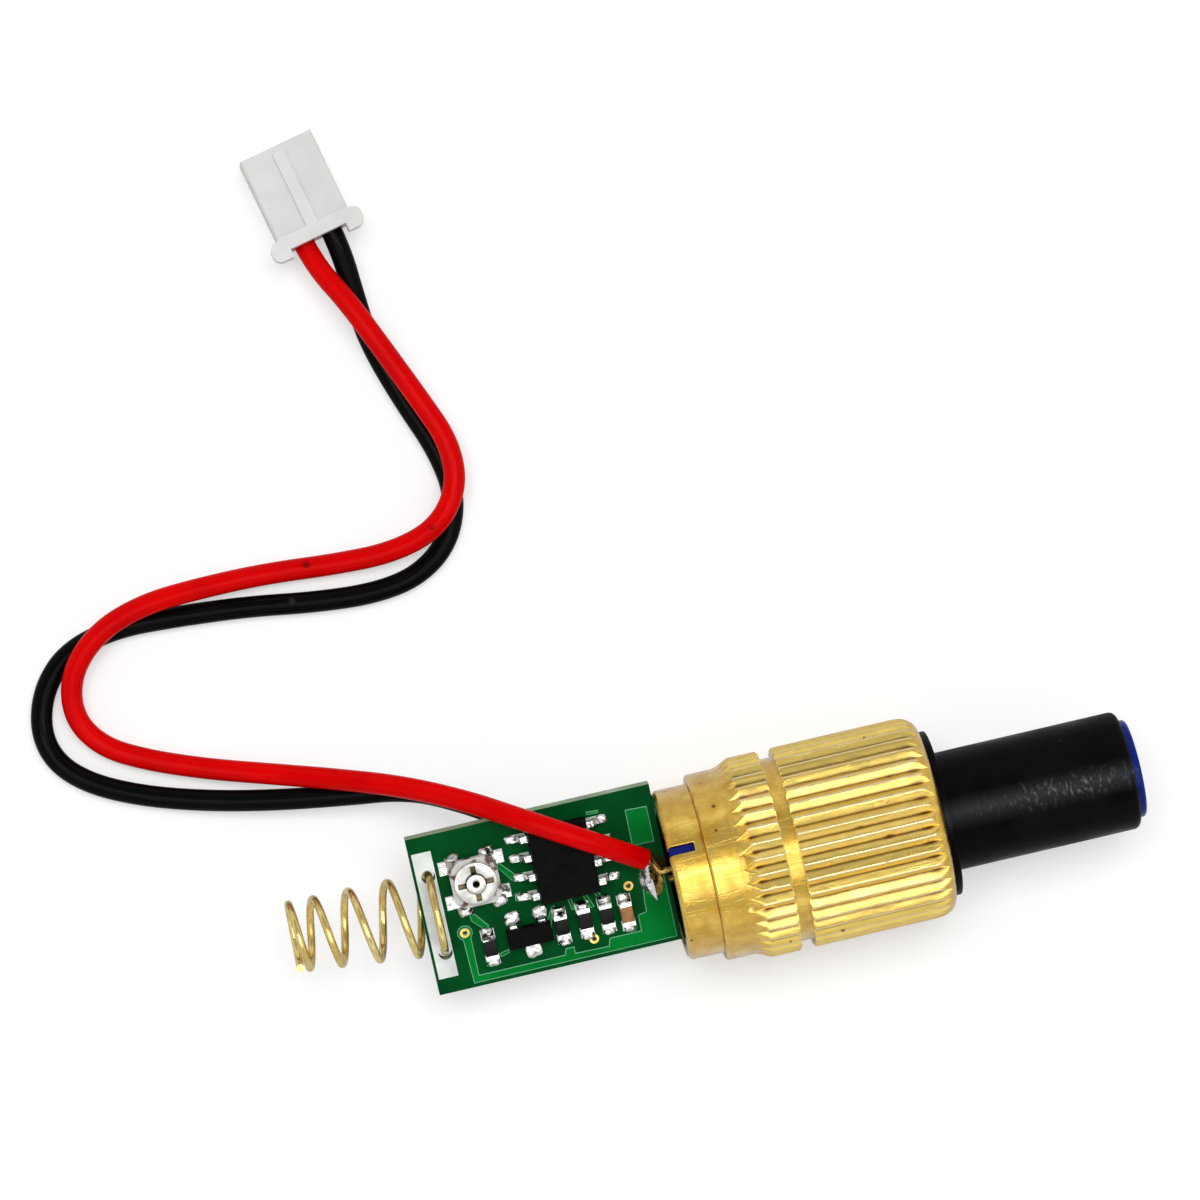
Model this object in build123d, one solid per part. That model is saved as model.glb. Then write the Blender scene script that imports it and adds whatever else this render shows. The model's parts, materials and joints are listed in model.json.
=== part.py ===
from build123d import *
import math
import os

# Laser diode module: knurled brass barrel with a black lens tube in front, a driver board and a
# battery contact spring behind, and two wires to a two-way plug.
# Millimetres. +X is the way the beam leaves, +Z is up, and the knurl rests on z = 0.

# Barrel, one turned brass piece
barrel_diameter = 13.0
barrel_length = 15.1
collar_step = 0.45
collar_length = 1.95
flare_length = 0.7
rear_knurl_length = 2.15
groove_width = 0.9
groove_depth = 0.575
front_round = 1.0
knurl_teeth = 40
knurl_depth = 0.42
knurl_land = 0.06
edge_break = 0.1
stake_radius = 0.34
stake_depth = 0.22
stake_angle = 29.0

# Bores of the barrel, rear, middle and front
collar_wall = 1.45
plug_bore_depth = 4.0
crystal_shoulder = 1.0
tube_bore_depth = 4.0
glue_gap = 0.02

# Brass plug that holds the pump diode, with a neck behind the barrel
neck_step = 0.55
neck_length = 2.35
neck_chamfer = 0.25
neck_wall = 0.9
recess_depth = 2.0
slot_length = 1.7
slot_width = 0.57
slot_angle = 18.0
sleeve_wall = 0.5
sleeve_length = 1.9
sleeve_key_gap = 0.04
sleeve_key_drop = 0.22

# Pump diode in its can
header_diameter = 5.6
header_thickness = 1.2
can_diameter = 4.4
can_height = 2.3
can_wall = 0.2
window_diameter = 2.4
window_thickness = 0.25
can_clearance = 0.15
lead_diameter = 0.45
lead_bend = 0.5
bent_lead_across = 0.42
bent_lead_turn = 0.55
bent_lead_end = 1.25
bent_lead_sweep = 1.58
lower_lead_across = 0.6
lower_lead_overlap = 1.6
spare_lead_across = 1.2
spare_lead_rise = 0.4
spare_lead_end = 0.5

# Crystal and its holder
crystal_width = 1.0
crystal_length = 2.4
crystal_holder_length = 2.5

# Lens tube and what is glued into it
tube_diameter = 7.65
tube_reach = 12.65
tube_edge = 0.45
tube_wall = 0.65
flange_margin = 0.15
flange_thickness = 0.5
flange_overlap = 1.05
expander_diameter = 3.2
expander_thickness = 0.9
expander_hollow = 0.25
throat_diameter = 2.4
throat_length = 3.5
lens_seat_land = 0.675
lens_seat_depth = 2.9
lens_edge = 0.9
lens_crown = 0.55
ring_proud = 0.5
ring_wall = 0.875
ring_edge = 0.15

# Driver board, rolled a little about the barrel's axis
board_length = 15.9
board_width = 10.4
board_thickness = 1.0
board_roll = 12.0
board_offset = 0.9
board_drop = 0.35
copper = 0.05
strip_length = 8.36
strip_start = 0.17
strip_width = 1.27
via_outer = 0.62
via_hole = 0.32
via_places = ((2.43, -1.58), (13.24, -0.99), (10.39, -3.87))

# Battery contact spring, threaded through two holes of the board
spring_wire = 0.5
spring_hole = 0.9
spring_hole_inset = 0.95
spring_tip_radius = 2.1
spring_board_radius = 2.55
spring_lean = 0.6
spring_tail = 0.9
spring_points_per_half_turn = 4
half_turn_steps = (0.18, 0.48, 1.18, 0.91, 1.38, 1.04, 1.5, 0.94, 1.6, 0.0)

# Trimmer resistor
trimmer_place = (3.78, 1.69)
trimmer_size = 3.1
trimmer_corner = 0.5
trimmer_height = 0.58
terminal_thickness = 0.12
terminal_width = 0.8
terminal_reach = 0.5
rotor_diameter = 2.75
rotor_thickness = 0.35
rotor_gap = 0.08
cross_width = 0.34
cross_span = 2.3
cross_depth = 0.2
rivet_diameter = 0.76
rivet_head_diameter = 1.24
rivet_head = 0.14
rivet_hole = 0.44
rivet_clearance = 0.07

# Eight lead controller chip
chip_place = (9.5, 1.8)
chip_width = 3.9
chip_length = 4.9
chip_height = 1.4
chip_standoff = 0.1
chip_pitch = 1.27
chip_leads_per_side = 4
chip_lead_width = 0.41
chip_lead_thickness = 0.2
chip_shoulder = 0.42
chip_lead_reach = 1.05
mould_draft = 7.0
lead_bend_thinning = 0.7

# Three lead transistor
transistor_place = (6.43, -2.52)
transistor_length = 2.9
transistor_width = 1.3
transistor_height = 0.95
transistor_pitch = 1.85
transistor_lead_width = 0.42
transistor_lead_thickness = 0.13
transistor_shoulder = 0.16
transistor_lead_reach = 0.55

# Chip resistors and the chip capacitor, all lying across the board
passive_width = 0.8
passive_length = 1.6
passive_cap = 0.3
resistor_height = 0.45
capacitor_height = 0.7
resistor_places = ((3.81, -2.84), (8.55, -2.55), (10.07, -2.5), (11.49, -2.51))
capacitor_place = (12.76, -2.64)
fillet_reach = 0.34
fillet_climb = 0.8
pad_margin = 0.05

# Plug on the far end of the wires, lying on the table with its rib up
plug_place = (-15.64, 44.83)
plug_heading = 102.7
plug_width = 5.0
plug_length = 6.4
plug_height = 4.5
plug_edge = 0.15
ear_span = 6.35
ear_overhang = 0.55
ear_start = 0.8
ear_root = 1.95
ear_height = 2.0
ear_round = 0.55
rib_width = 0.77
panel_depth = 0.3
panel_start = 0.9
rib_front_margin = 0.45
cavity_pitch = 2.0
cavity_width = 1.6
cavity_height = 1.8
latch_window = 1.0
latch_start = 2.2
latch_length = 1.6
contact_width = 1.3
contact_height = 1.5
contact_inset = 0.5
contact_mouth = 0.7
contact_mouth_depth = 2.8
crimp_diameter = 1.1
crimp_length = 1.2

# Wires
wire_diameter = 1.4
conductor_diameter = 0.7
wire_insertion = 1.2
wire_straight = 1.3
cord_arc_share = 0.45
red_strand_straight = 0.25
red_strand_bend = 0.4
red_strand_tip = (1.3, -0.6, 0.45)
black_conductor_length = 1.6
red_solder_place = (1.28, -0.75)
red_solder_length = 2.9
red_solder_half_width = 0.5
black_solder_length = 2.8
black_solder_half_width = 1.15
red_solder_turn = 4.0
black_solder_turn = 60.0

# Route of the red wire over the table, and its end measured back from the board's front edge
red_table_points = [
    (-14.7, 40.4, 2.7), (-13.1, 36.7, 2.6), (-11.6, 33.2, 2.4), (-10.4, 30.2, 2.35),
    (-10.5, 27.3, 2.3), (-12.3, 25.0, 2.1), (-15.4, 24.1, 1.4), (-19.3, 24.2, 0.85),
    (-23.6, 24.6, 0.8), (-27.8, 24.65, 1.3), (-31.8, 24.45, 2.2), (-35.1, 23.35, 2.4),
    (-37.35, 21.15, 1.8), (-37.85, 18.4, 1.0), (-36.5, 16.15, 0.75), (-33.85, 14.65, 0.75),
    (-30.15, 13.2, 0.9), (-26.3, 12.0, 1.7), (-22.3, 10.75, 3.2), (-18.35, 9.4, 5.2), (-14.6, 7.6, 7.3),
]
red_board_points = [(8.4, 5.23, 1.79), (5.3, 3.5, 2.56), (3.0, 1.9, 1.87), (1.35, 0.75, 1.14)]

# Route of the black wire over the table, and its end under the board's lower face
black_table_points = [
    (-14.2, 41.0, 1.4), (-13.95, 37.8, 0.8), (-12.6, 33.5, 0.72), (-11.2, 30.0, 0.7),
    (-10.7, 26.8, 0.71), (-11.8, 24.0, 0.7), (-14.1, 22.3, 0.71), (-17.1, 21.8, 0.7),
    (-21.0, 22.1, 0.71), (-25.3, 22.8, 0.7), (-29.8, 23.2, 0.71), (-33.9, 23.4, 0.7),
    (-37.2, 22.6, 0.71), (-39.2, 20.7, 0.7), (-40.1, 18.1, 0.71), (-39.6, 15.8, 0.7),
    (-37.7, 13.95, 0.71), (-34.6, 12.45, 0.8), (-30.8, 11.25, 1.0), (-26.5, 10.3, 1.6),
    (-22.0, 9.6, 2.4), (-18.0, 9.1, 3.4), (-14.9, 7.6, 4.6),
]
black_board_points = [(9.5, 4.78, 1.29), (7.3, 3.29, 1.07)]

# Diameters that follow from the barrel, the tube and their steps and walls
collar_diameter = barrel_diameter - 2 * collar_step
groove_diameter = barrel_diameter - 2 * groove_depth
plug_bore_diameter = collar_diameter - 2 * collar_wall
crystal_bore_diameter = plug_bore_diameter - 2 * crystal_shoulder
neck_diameter = collar_diameter - 2 * neck_step
recess_diameter = neck_diameter - 2 * neck_wall
flange_diameter = barrel_diameter - 2 * front_round - 2 * flange_margin
tube_bore_diameter = flange_diameter - 2 * flange_overlap
lens_diameter = tube_diameter - 2 * tube_wall
beam_diameter = lens_diameter - 2 * lens_seat_land
ring_bore = lens_diameter - 2 * ring_wall

# Stations along the axis, centred on the module's overall length
spring_reach = sum(half_turn_steps) - spring_hole_inset + spring_wire / 2
overall_length = spring_reach + board_length + neck_length + barrel_length + tube_reach + ring_proud
spring_tip_x = -overall_length / 2
board_rear_x = spring_tip_x + spring_reach
neck_rear_x = board_rear_x + board_length
collar_rear_x = neck_rear_x + neck_length
barrel_front_x = collar_rear_x + barrel_length
tube_front_x = barrel_front_x + tube_reach
ring_front_x = tube_front_x + ring_proud
axis_height = barrel_diameter / 2

# Plane of the board's upper face: x along the board, y across it, z out of the upper face
roll = math.radians(board_roll)
board_plane = Plane(
    origin=(
        board_rear_x,
        board_offset * math.cos(roll) + board_drop * math.sin(roll),
        axis_height + board_offset * math.sin(roll) - board_drop * math.cos(roll),
    ),
    x_dir=(1, 0, 0),
    z_dir=(0, -math.sin(roll), math.cos(roll)),
)

# Plane of the plug: x from its wire end to its mating end, z up
heading = math.radians(plug_heading)
plug_plane = Plane(
    origin=(plug_place[0], plug_place[1], 0),
    x_dir=(math.cos(heading), math.sin(heading), 0),
    z_dir=(0, 0, 1),
)


def on_board(back, across, above):
    """Point above the board's upper face, measured back from its front edge."""
    return board_plane.from_local_coords((board_length - back, across, above))


def under_board(back, across, below):
    """Point below the board's lower face, measured back from its front edge."""
    return board_plane.from_local_coords((board_length - back, across, -board_thickness - below))


def from_plug(across):
    """The two points where a wire runs straight out of its cavity in the plug."""
    middle = plug_height / 2
    ends = [(wire_insertion, across, middle), (-wire_straight, across, middle)]
    return [plug_plane.from_local_coords(end) for end in ends]


red_points = [*from_plug(cavity_pitch / 2), *red_table_points]
red_points += [on_board(*point) for point in red_board_points]
black_points = [*from_plug(-cavity_pitch / 2), *black_table_points]
black_points += [under_board(*point) for point in black_board_points]


def turned(outline):
    """Solid turned about the optical axis from its (x, radius) corners."""
    section = make_face(Polyline(*outline, close=True))
    return Pos(0, 0, axis_height) * revolve(Plane.XZ * section, Axis.X, 360)


def block(x_span, y_span, z_span):
    """Box between two values on each axis."""
    centre = [(span[0] + span[1]) / 2 for span in (x_span, y_span, z_span)]
    return Pos(*centre) * Box(*[span[1] - span[0] for span in (x_span, y_span, z_span)])


def centred(middle, size):
    """Span of a given size about a middle."""
    return (middle - size / 2, middle + size / 2)


def post(place, diameter, bottom, top):
    """Round pin along z between two heights."""
    return Pos(place[0], place[1], (bottom + top) / 2) * Cylinder(diameter / 2, top - bottom)


def tube(points, diameter, radii):
    """Round bar along straight runs joined by tangent arcs."""
    path = FilletPolyline(*points, radius=radii) if len(points) > 2 else Line(*points)
    start = Plane(origin=path @ 0, z_dir=path % 0)
    return sweep(start * Circle(diameter / 2), path), path.length


def cord_radii(points):
    """Largest arc that each corner of a cord's route has room for."""
    radii = []
    for before, here, after in zip(points, points[1:], points[2:]):
        run_in = Vector(here) - Vector(before)
        run_out = Vector(after) - Vector(here)
        half_turn = math.radians(run_in.get_angle(run_out)) / 2
        radii.append(cord_arc_share * min(run_in.length, run_out.length) / math.tan(half_turn))
    return radii


def save(name, *solids):
    """One STEP file for each kind of piece."""
    export_step(solids[0] if len(solids) == 1 else Compound(list(solids)), f"parts/{name}.step")


def make_barrel():
    outer = barrel_diameter / 2
    collar = collar_diameter / 2
    groove = groove_diameter / 2
    flare_start = collar_rear_x + collar_length
    knurl_start = flare_start + flare_length
    groove_start = knurl_start + rear_knurl_length
    groove_end = groove_start + groove_width
    round_start = barrel_front_x - front_round
    plug_bore_end = collar_rear_x + plug_bore_depth
    tube_bore_start = barrel_front_x - tube_bore_depth
    back_and_top = Polyline(
        (plug_bore_end, crystal_bore_diameter / 2),
        (plug_bore_end, plug_bore_diameter / 2),
        (collar_rear_x, plug_bore_diameter / 2),
        (collar_rear_x, collar - edge_break),
        (collar_rear_x + edge_break, collar),
        (flare_start, collar),
        (knurl_start, outer),
        (groove_start - edge_break, outer),
        (groove_start, outer - edge_break),
        (groove_start, groove),
        (groove_end, groove),
        (groove_end, outer - edge_break),
        (groove_end + edge_break, outer),
        (round_start, outer),
    )
    nose = RadiusArc((round_start, outer), (barrel_front_x, outer - front_round), front_round)
    front_and_bore = Polyline(
        (barrel_front_x, outer - front_round),
        (barrel_front_x, tube_bore_diameter / 2),
        (tube_bore_start, tube_bore_diameter / 2),
        (tube_bore_start, crystal_bore_diameter / 2),
        (plug_bore_end, crystal_bore_diameter / 2),
    )
    section = make_face(Wire([*back_and_top.edges(), *nose.edges(), *front_and_bore.edges()]))
    barrel = Pos(0, 0, axis_height) * revolve(Plane.XZ * section, Axis.X, 360)
    # Straight V teeth, rolled across both bands, that run out on the flare and the rounded nose
    tip = outer + knurl_land
    valley = outer - knurl_depth
    half_tooth = math.pi / knurl_teeth
    corners = []
    for tooth in range(2 * knurl_teeth):
        radius = valley if tooth % 2 else tip
        corners.append((radius * math.cos(tooth * half_tooth), radius * math.sin(tooth * half_tooth)))
    star = make_face(Polyline(*corners, close=True))
    waste = Circle(barrel_diameter) - star
    along = Plane(origin=(flare_start, 0, axis_height), x_dir=(0, 1, 0), z_dir=(1, 0, 0))
    barrel -= extrude(along * waste, barrel_front_x - flare_start)
    # Punch mark on the edge of the collar
    mark = Pos(flare_start, 0, collar - stake_depth) * Cone(
        stake_radius / 4, stake_radius, 2 * stake_depth, align=(Align.CENTER, Align.CENTER, Align.MIN)
    )
    return barrel - Pos(0, 0, axis_height) * (Rot(stake_angle, 0, 0) * mark)


def make_diode_plug():
    neck = neck_diameter / 2
    recess_floor = neck_rear_x + recess_depth
    header_seat = recess_floor + header_thickness
    front = collar_rear_x + plug_bore_depth
    can_bore = can_diameter / 2 + can_clearance
    plug = turned([
        (neck_rear_x, recess_diameter / 2),
        (neck_rear_x, neck - neck_chamfer),
        (neck_rear_x + neck_chamfer, neck),
        (collar_rear_x, neck),
        (collar_rear_x, plug_bore_diameter / 2 - glue_gap),
        (front, plug_bore_diameter / 2 - glue_gap),
        (front, can_bore),
        (header_seat, can_bore),
        (header_seat, header_diameter / 2 + glue_gap),
        (recess_floor, header_diameter / 2 + glue_gap),
        (recess_floor, recess_diameter / 2),
    ])
    wall_middle = (neck + recess_diameter / 2) / 2
    notch = block(
        (neck_rear_x - neck_chamfer, neck_rear_x + slot_length),
        centred(0, slot_width),
        centred(wall_middle, neck_diameter - recess_diameter),
    )
    return plug - Pos(0, 0, axis_height) * (Rot(-slot_angle, 0, 0) * notch)


def make_sleeve():
    outer = recess_diameter / 2 - glue_gap
    sleeve_rear = neck_rear_x + recess_depth - sleeve_length
    sleeve = turned([
        (sleeve_rear, outer - sleeve_wall),
        (sleeve_rear, outer),
        (neck_rear_x + recess_depth, outer),
        (neck_rear_x + recess_depth, outer - sleeve_wall),
    ])
    key = block(
        (sleeve_rear, neck_rear_x + slot_length - sleeve_key_gap),
        centred(0, slot_width - 2 * sleeve_key_gap),
        (outer - sleeve_wall / 2, neck_diameter / 2 - sleeve_key_drop),
    )
    return sleeve + Pos(0, 0, axis_height) * (Rot(-slot_angle, 0, 0) * key)


def diode_lead_routes():
    """Points of the three leads in the board's plane, from the header to their ends."""
    header_rear = board_length + recess_depth
    upper = copper + lead_diameter / 2
    under = -board_thickness - copper - lead_diameter / 2
    middle = -board_offset
    bent_across = middle + bent_lead_across
    bent = [
        (header_rear, bent_across, upper),
        (board_length - bent_lead_turn, bent_across, upper),
        (board_length - bent_lead_end, bent_across + bent_lead_sweep, upper),
    ]
    lower_across = middle - lower_lead_across
    lower = [(header_rear, lower_across, under), (board_length - lower_lead_overlap, lower_across, under)]
    spare_across = middle - spare_lead_across
    spare_height = upper + spare_lead_rise
    spare = [
        (header_rear, spare_across, spare_height),
        (board_length + spare_lead_end, spare_across, spare_height),
    ]
    return bent, lower, spare


def make_diode_leads():
    leads = []
    for route in diode_lead_routes():
        leads.append(board_plane * tube(route, lead_diameter, lead_bend)[0])
    return leads


def make_diode():
    header_rear = neck_rear_x + recess_depth
    header_front = header_rear + header_thickness
    can_front = header_front + can_height
    can = can_diameter / 2
    header = turned([
        (header_rear, 0), (header_rear, header_diameter / 2),
        (header_front, header_diameter / 2), (header_front, 0),
    ])
    cap = turned([
        (header_front, can - can_wall),
        (header_front, can),
        (can_front, can),
        (can_front, window_diameter / 2 - can_wall),
        (can_front - can_wall, window_diameter / 2 - can_wall),
        (can_front - can_wall, can - can_wall),
    ])
    window_front = can_front - can_wall
    window = turned([
        (window_front - window_thickness, 0),
        (window_front - window_thickness, window_diameter / 2),
        (window_front, window_diameter / 2),
        (window_front, 0),
    ])
    return header, cap, window


def make_crystal():
    start = collar_rear_x + plug_bore_depth
    end = start + crystal_holder_length
    crystal = block(
        (end - crystal_length, end),
        centred(0, crystal_width),
        centred(axis_height, crystal_width),
    )
    pocket = block(
        (start, end),
        centred(0, crystal_width + 2 * glue_gap),
        centred(axis_height, crystal_width + 2 * glue_gap),
    )
    outer = crystal_bore_diameter / 2 - glue_gap
    holder = turned([(start, 0), (start, outer), (end, outer), (end, 0)]) - pocket
    return holder, crystal


def make_lens_tube():
    outer = tube_diameter / 2
    rear = barrel_front_x - tube_bore_depth
    expander_seat = rear + expander_thickness
    lens_seat = tube_front_x - lens_seat_depth
    bore = lens_diameter / 2 + glue_gap
    cone_start = rear + throat_length
    cone_end = lens_seat - beam_diameter / 2
    back_and_side = Polyline(
        (expander_seat, throat_diameter / 2),
        (expander_seat, expander_diameter / 2 + glue_gap),
        (rear, expander_diameter / 2 + glue_gap),
        (rear, tube_bore_diameter / 2 - glue_gap),
        (barrel_front_x, tube_bore_diameter / 2 - glue_gap),
        (barrel_front_x, flange_diameter / 2),
        (barrel_front_x + flange_thickness, flange_diameter / 2),
        (barrel_front_x + flange_thickness, outer),
        (tube_front_x - tube_edge, outer),
    )
    lip = RadiusArc((tube_front_x - tube_edge, outer), (tube_front_x, outer - tube_edge), tube_edge)
    front_and_bore = Polyline(
        (tube_front_x, outer - tube_edge),
        (tube_front_x, bore),
        (lens_seat, bore),
        (lens_seat, beam_diameter / 2),
        (cone_end, beam_diameter / 2),
        (cone_start, throat_diameter / 2),
        (expander_seat, throat_diameter / 2),
    )
    section = make_face(Wire([*back_and_side.edges(), *lip.edges(), *front_and_bore.edges()]))
    return Pos(0, 0, axis_height) * revolve(Plane.XZ * section, Axis.X, 360)


def spherical_face(station, radius, depth):
    """Arc of a lens surface, from its edge to its middle on the axis, a depth further along."""
    sphere = (radius ** 2 + depth ** 2) / (2 * depth)
    halfway = math.asin(radius / sphere) / 2
    between = (station + depth - sphere * (1 - math.cos(halfway)), sphere * math.sin(halfway))
    return ThreePointArc((station, radius), between, (station + depth, 0))


def make_expander():
    rear = barrel_front_x - tube_bore_depth
    front = rear + expander_thickness
    rim = expander_diameter / 2
    hollow = throat_diameter / 2
    rest = Polyline((rear + expander_hollow, 0), (front, 0), (front, rim), (rear, rim), (rear, hollow))
    face = spherical_face(rear, hollow, expander_hollow)
    section = make_face(Wire([*rest.edges(), *face.edges()]))
    return Pos(0, 0, axis_height) * revolve(Plane.XZ * section, Axis.X, 360)


def make_lens():
    seat = tube_front_x - lens_seat_depth
    rim = lens_diameter / 2
    clear = ring_bore / 2
    edge = seat + lens_edge
    rest = Polyline((edge + lens_crown, 0), (seat, 0), (seat, rim), (edge, rim), (edge, clear))
    face = spherical_face(edge, clear, lens_crown)
    section = make_face(Wire([*rest.edges(), *face.edges()]))
    return Pos(0, 0, axis_height) * revolve(Plane.XZ * section, Axis.X, 360)


def make_retainer():
    rear = tube_front_x - lens_seat_depth + lens_edge
    rim = lens_diameter / 2
    return turned([
        (rear, ring_bore / 2),
        (rear, rim),
        (ring_front_x - ring_edge, rim),
        (ring_front_x, rim - ring_edge),
        (ring_front_x, ring_bore / 2 + ring_edge),
        (ring_front_x - ring_edge, ring_bore / 2),
    ])


def spring_hole_places():
    return [(spring_hole_inset, side * spring_board_radius) for side in (1, -1)]


def make_board():
    board = block((0, board_length), centred(0, board_width), (-board_thickness, 0))
    for place in spring_hole_places():
        board -= post(place, spring_hole, -board_thickness, 0)
    for place in via_places:
        board -= post(place, via_hole, -board_thickness, 0)
    return board_plane * board


def make_strip():
    strip = block((strip_start, strip_start + strip_width), centred(0, strip_length), (0, copper))
    for place in spring_hole_places():
        strip -= post(place, spring_hole, 0, copper)
    return board_plane * strip


def make_vias():
    rings = []
    for place in via_places:
        ring = post(place, via_outer, 0, copper) - post(place, via_hole, 0, copper)
        rings.append(board_plane * ring)
    return rings


def make_spring():
    """Coil of round wire in which each half turn has its own step along the axis."""
    middle_plane = -board_thickness / 2
    total = sum(half_turn_steps)
    stations = []
    along = spring_hole_inset - total
    for index in range(len(half_turn_steps) + 1):
        share = (spring_hole_inset - along) / total
        radius = spring_board_radius + (spring_tip_radius - spring_board_radius) * share
        side = 1 if index % 2 else -1
        stations.append(Vector(along, spring_lean * share + side * radius, middle_plane))
        if index < len(half_turn_steps):
            along += half_turn_steps[index]
    points = []
    for index, (start, end) in enumerate(zip(stations, stations[1:])):
        over = 1 if index % 2 else -1
        step = end - start
        for number in range(spring_points_per_half_turn):
            share = number / spring_points_per_half_turn
            turn = math.pi * share
            across = start.Y + step.Y * (1 - math.cos(turn)) / 2
            height = over * abs(step.Y) / 2 * math.sin(turn)
            points.append(Vector(start.X + step.X * share, across, middle_plane + height))
    line = Spline(*points, stations[-1], stations[-1] - Vector(0, 0, spring_tail))
    start = Plane(origin=line @ 0, z_dir=line % 0)
    return board_plane * sweep(start * Circle(spring_wire / 2), line)


def make_trimmer():
    at = Pos(trimmer_place[0], trimmer_place[1], 0)
    foot = copper + terminal_thickness
    top = foot + trimmer_height
    half = trimmer_size / 2
    outline = Rectangle(trimmer_size, trimmer_size)
    outline = chamfer(outline.vertices(), trimmer_corner)
    base = Pos(0, 0, foot) * extrude(outline, trimmer_height)
    base -= post((0, 0), rivet_diameter + 2 * glue_gap, foot, top)
    terminals = []
    for side_x in (1, -1):
        for side_y in (1, -1):
            inner = half - terminal_reach
            foot_bar = block(
                sorted((side_x * inner, side_x * (half + terminal_reach))),
                sorted((side_y * (half - terminal_width), side_y * half)),
                (copper, foot),
            )
            terminals.append(foot_bar)
    rotor_bottom = top + rotor_gap
    rotor_top = rotor_bottom + rotor_thickness
    rotor = post((0, 0), rotor_diameter, rotor_bottom, rotor_top)
    rotor -= block(centred(0, cross_span), centred(0, cross_width), (rotor_top - cross_depth, rotor_top))
    rotor -= block(centred(0, cross_width), centred(0, cross_span), (rotor_top - cross_depth, rotor_top))
    rotor -= post((0, 0), rivet_diameter + 2 * rivet_clearance, rotor_bottom, rotor_top)
    head = rotor_top + rivet_clearance
    rivet = post((0, 0), rivet_diameter, foot, head)
    rivet += post((0, 0), rivet_head_diameter, head, head + rivet_head)
    rivet -= post((0, 0), rivet_hole, foot, head + rivet_head)
    stack = [board_plane * (at * solid) for solid in (base, rotor, rivet)]
    return stack, [board_plane * (at * solid) for solid in terminals]


def gull_lead(width, body, exit_height, shoulder, reach, thickness):
    """Bent lead from the side of a moulded body down to its foot, pointing along +x."""
    knee = (reach + shoulder) / 2
    side = Polyline(
        (body, exit_height + thickness),
        (body + shoulder, exit_height + thickness),
        (body + knee, copper + thickness),
        (body + reach, copper + thickness),
        (body + reach, copper),
        (body + knee - thickness * lead_bend_thinning, copper),
        (body + shoulder - thickness * lead_bend_thinning, exit_height),
        (body, exit_height),
        close=True,
    )
    return Pos(0, width / 2, 0) * extrude(Plane.XZ * make_face(side), width)


def moulded_body(length_x, length_y, bottom, top):
    """Moulded package whose sides draw in from the parting line at mid height."""
    middle = (bottom + top) / 2
    rim = Pos(0, 0, middle) * Rectangle(length_x, length_y)
    upper = extrude(rim, top - middle, taper=mould_draft)
    lower = extrude(rim, middle - bottom, dir=(0, 0, -1), taper=mould_draft)
    return upper + lower


def chip_row_offset(row):
    return (row - (chip_leads_per_side - 1) / 2) * chip_pitch


def make_chip():
    at = Pos(chip_place[0], chip_place[1], 0)
    bottom = copper + chip_standoff
    body = moulded_body(chip_width, chip_length, bottom, bottom + chip_height)
    leads = []
    exit_height = bottom + chip_height / 2 - chip_lead_thickness / 2
    for facing in (0, 180):
        for row in range(chip_leads_per_side):
            lead = gull_lead(
                chip_lead_width, chip_width / 2, exit_height, chip_shoulder, chip_lead_reach,
                chip_lead_thickness,
            )
            lead = Pos(0, chip_row_offset(row), 0) * (Rot(0, 0, facing) * lead)
            leads.append(board_plane * (at * lead))
    return board_plane * (at * body), leads


def make_transistor():
    at = Pos(transistor_place[0], transistor_place[1], 0)
    bottom = copper + chip_standoff / 2
    body = moulded_body(transistor_length, transistor_width, bottom, bottom + transistor_height)
    exit_height = bottom + transistor_height / 2 - transistor_lead_thickness / 2
    leads = []
    for offset, facing in ((-transistor_pitch / 2, 90), (transistor_pitch / 2, 90), (0, -90)):
        lead = gull_lead(
            transistor_lead_width, transistor_width / 2, exit_height, transistor_shoulder,
            transistor_lead_reach, transistor_lead_thickness,
        )
        leads.append(board_plane * (at * (Pos(offset, 0, 0) * (Rot(0, 0, facing) * lead))))
    return board_plane * (at * body), leads


def passive_part(place, height):
    """Chip body between two tinned end caps, with its solder fillets."""
    at = Pos(place[0], place[1], 0)
    half = passive_length / 2
    body = block(
        centred(0, passive_width),
        centred(0, passive_length - 2 * passive_cap),
        (copper, copper + height),
    )
    caps = []
    fillets = []
    for side in (1, -1):
        caps.append(block(
            centred(0, passive_width),
            sorted((side * (half - passive_cap), side * half)),
            (copper, copper + height),
        ))
        wedge = make_face(Polyline(
            (side * half, copper), (side * (half + fillet_reach), copper),
            (side * half, copper + height * fillet_climb), close=True,
        ))
        fillets.append(Pos(-passive_width / 2, 0, 0) * extrude(Plane.YZ * wedge, passive_width))
    caps = [board_plane * (at * solid) for solid in caps]
    fillets = [board_plane * (at * solid) for solid in fillets]
    return board_plane * (at * body), caps, fillets


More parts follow.
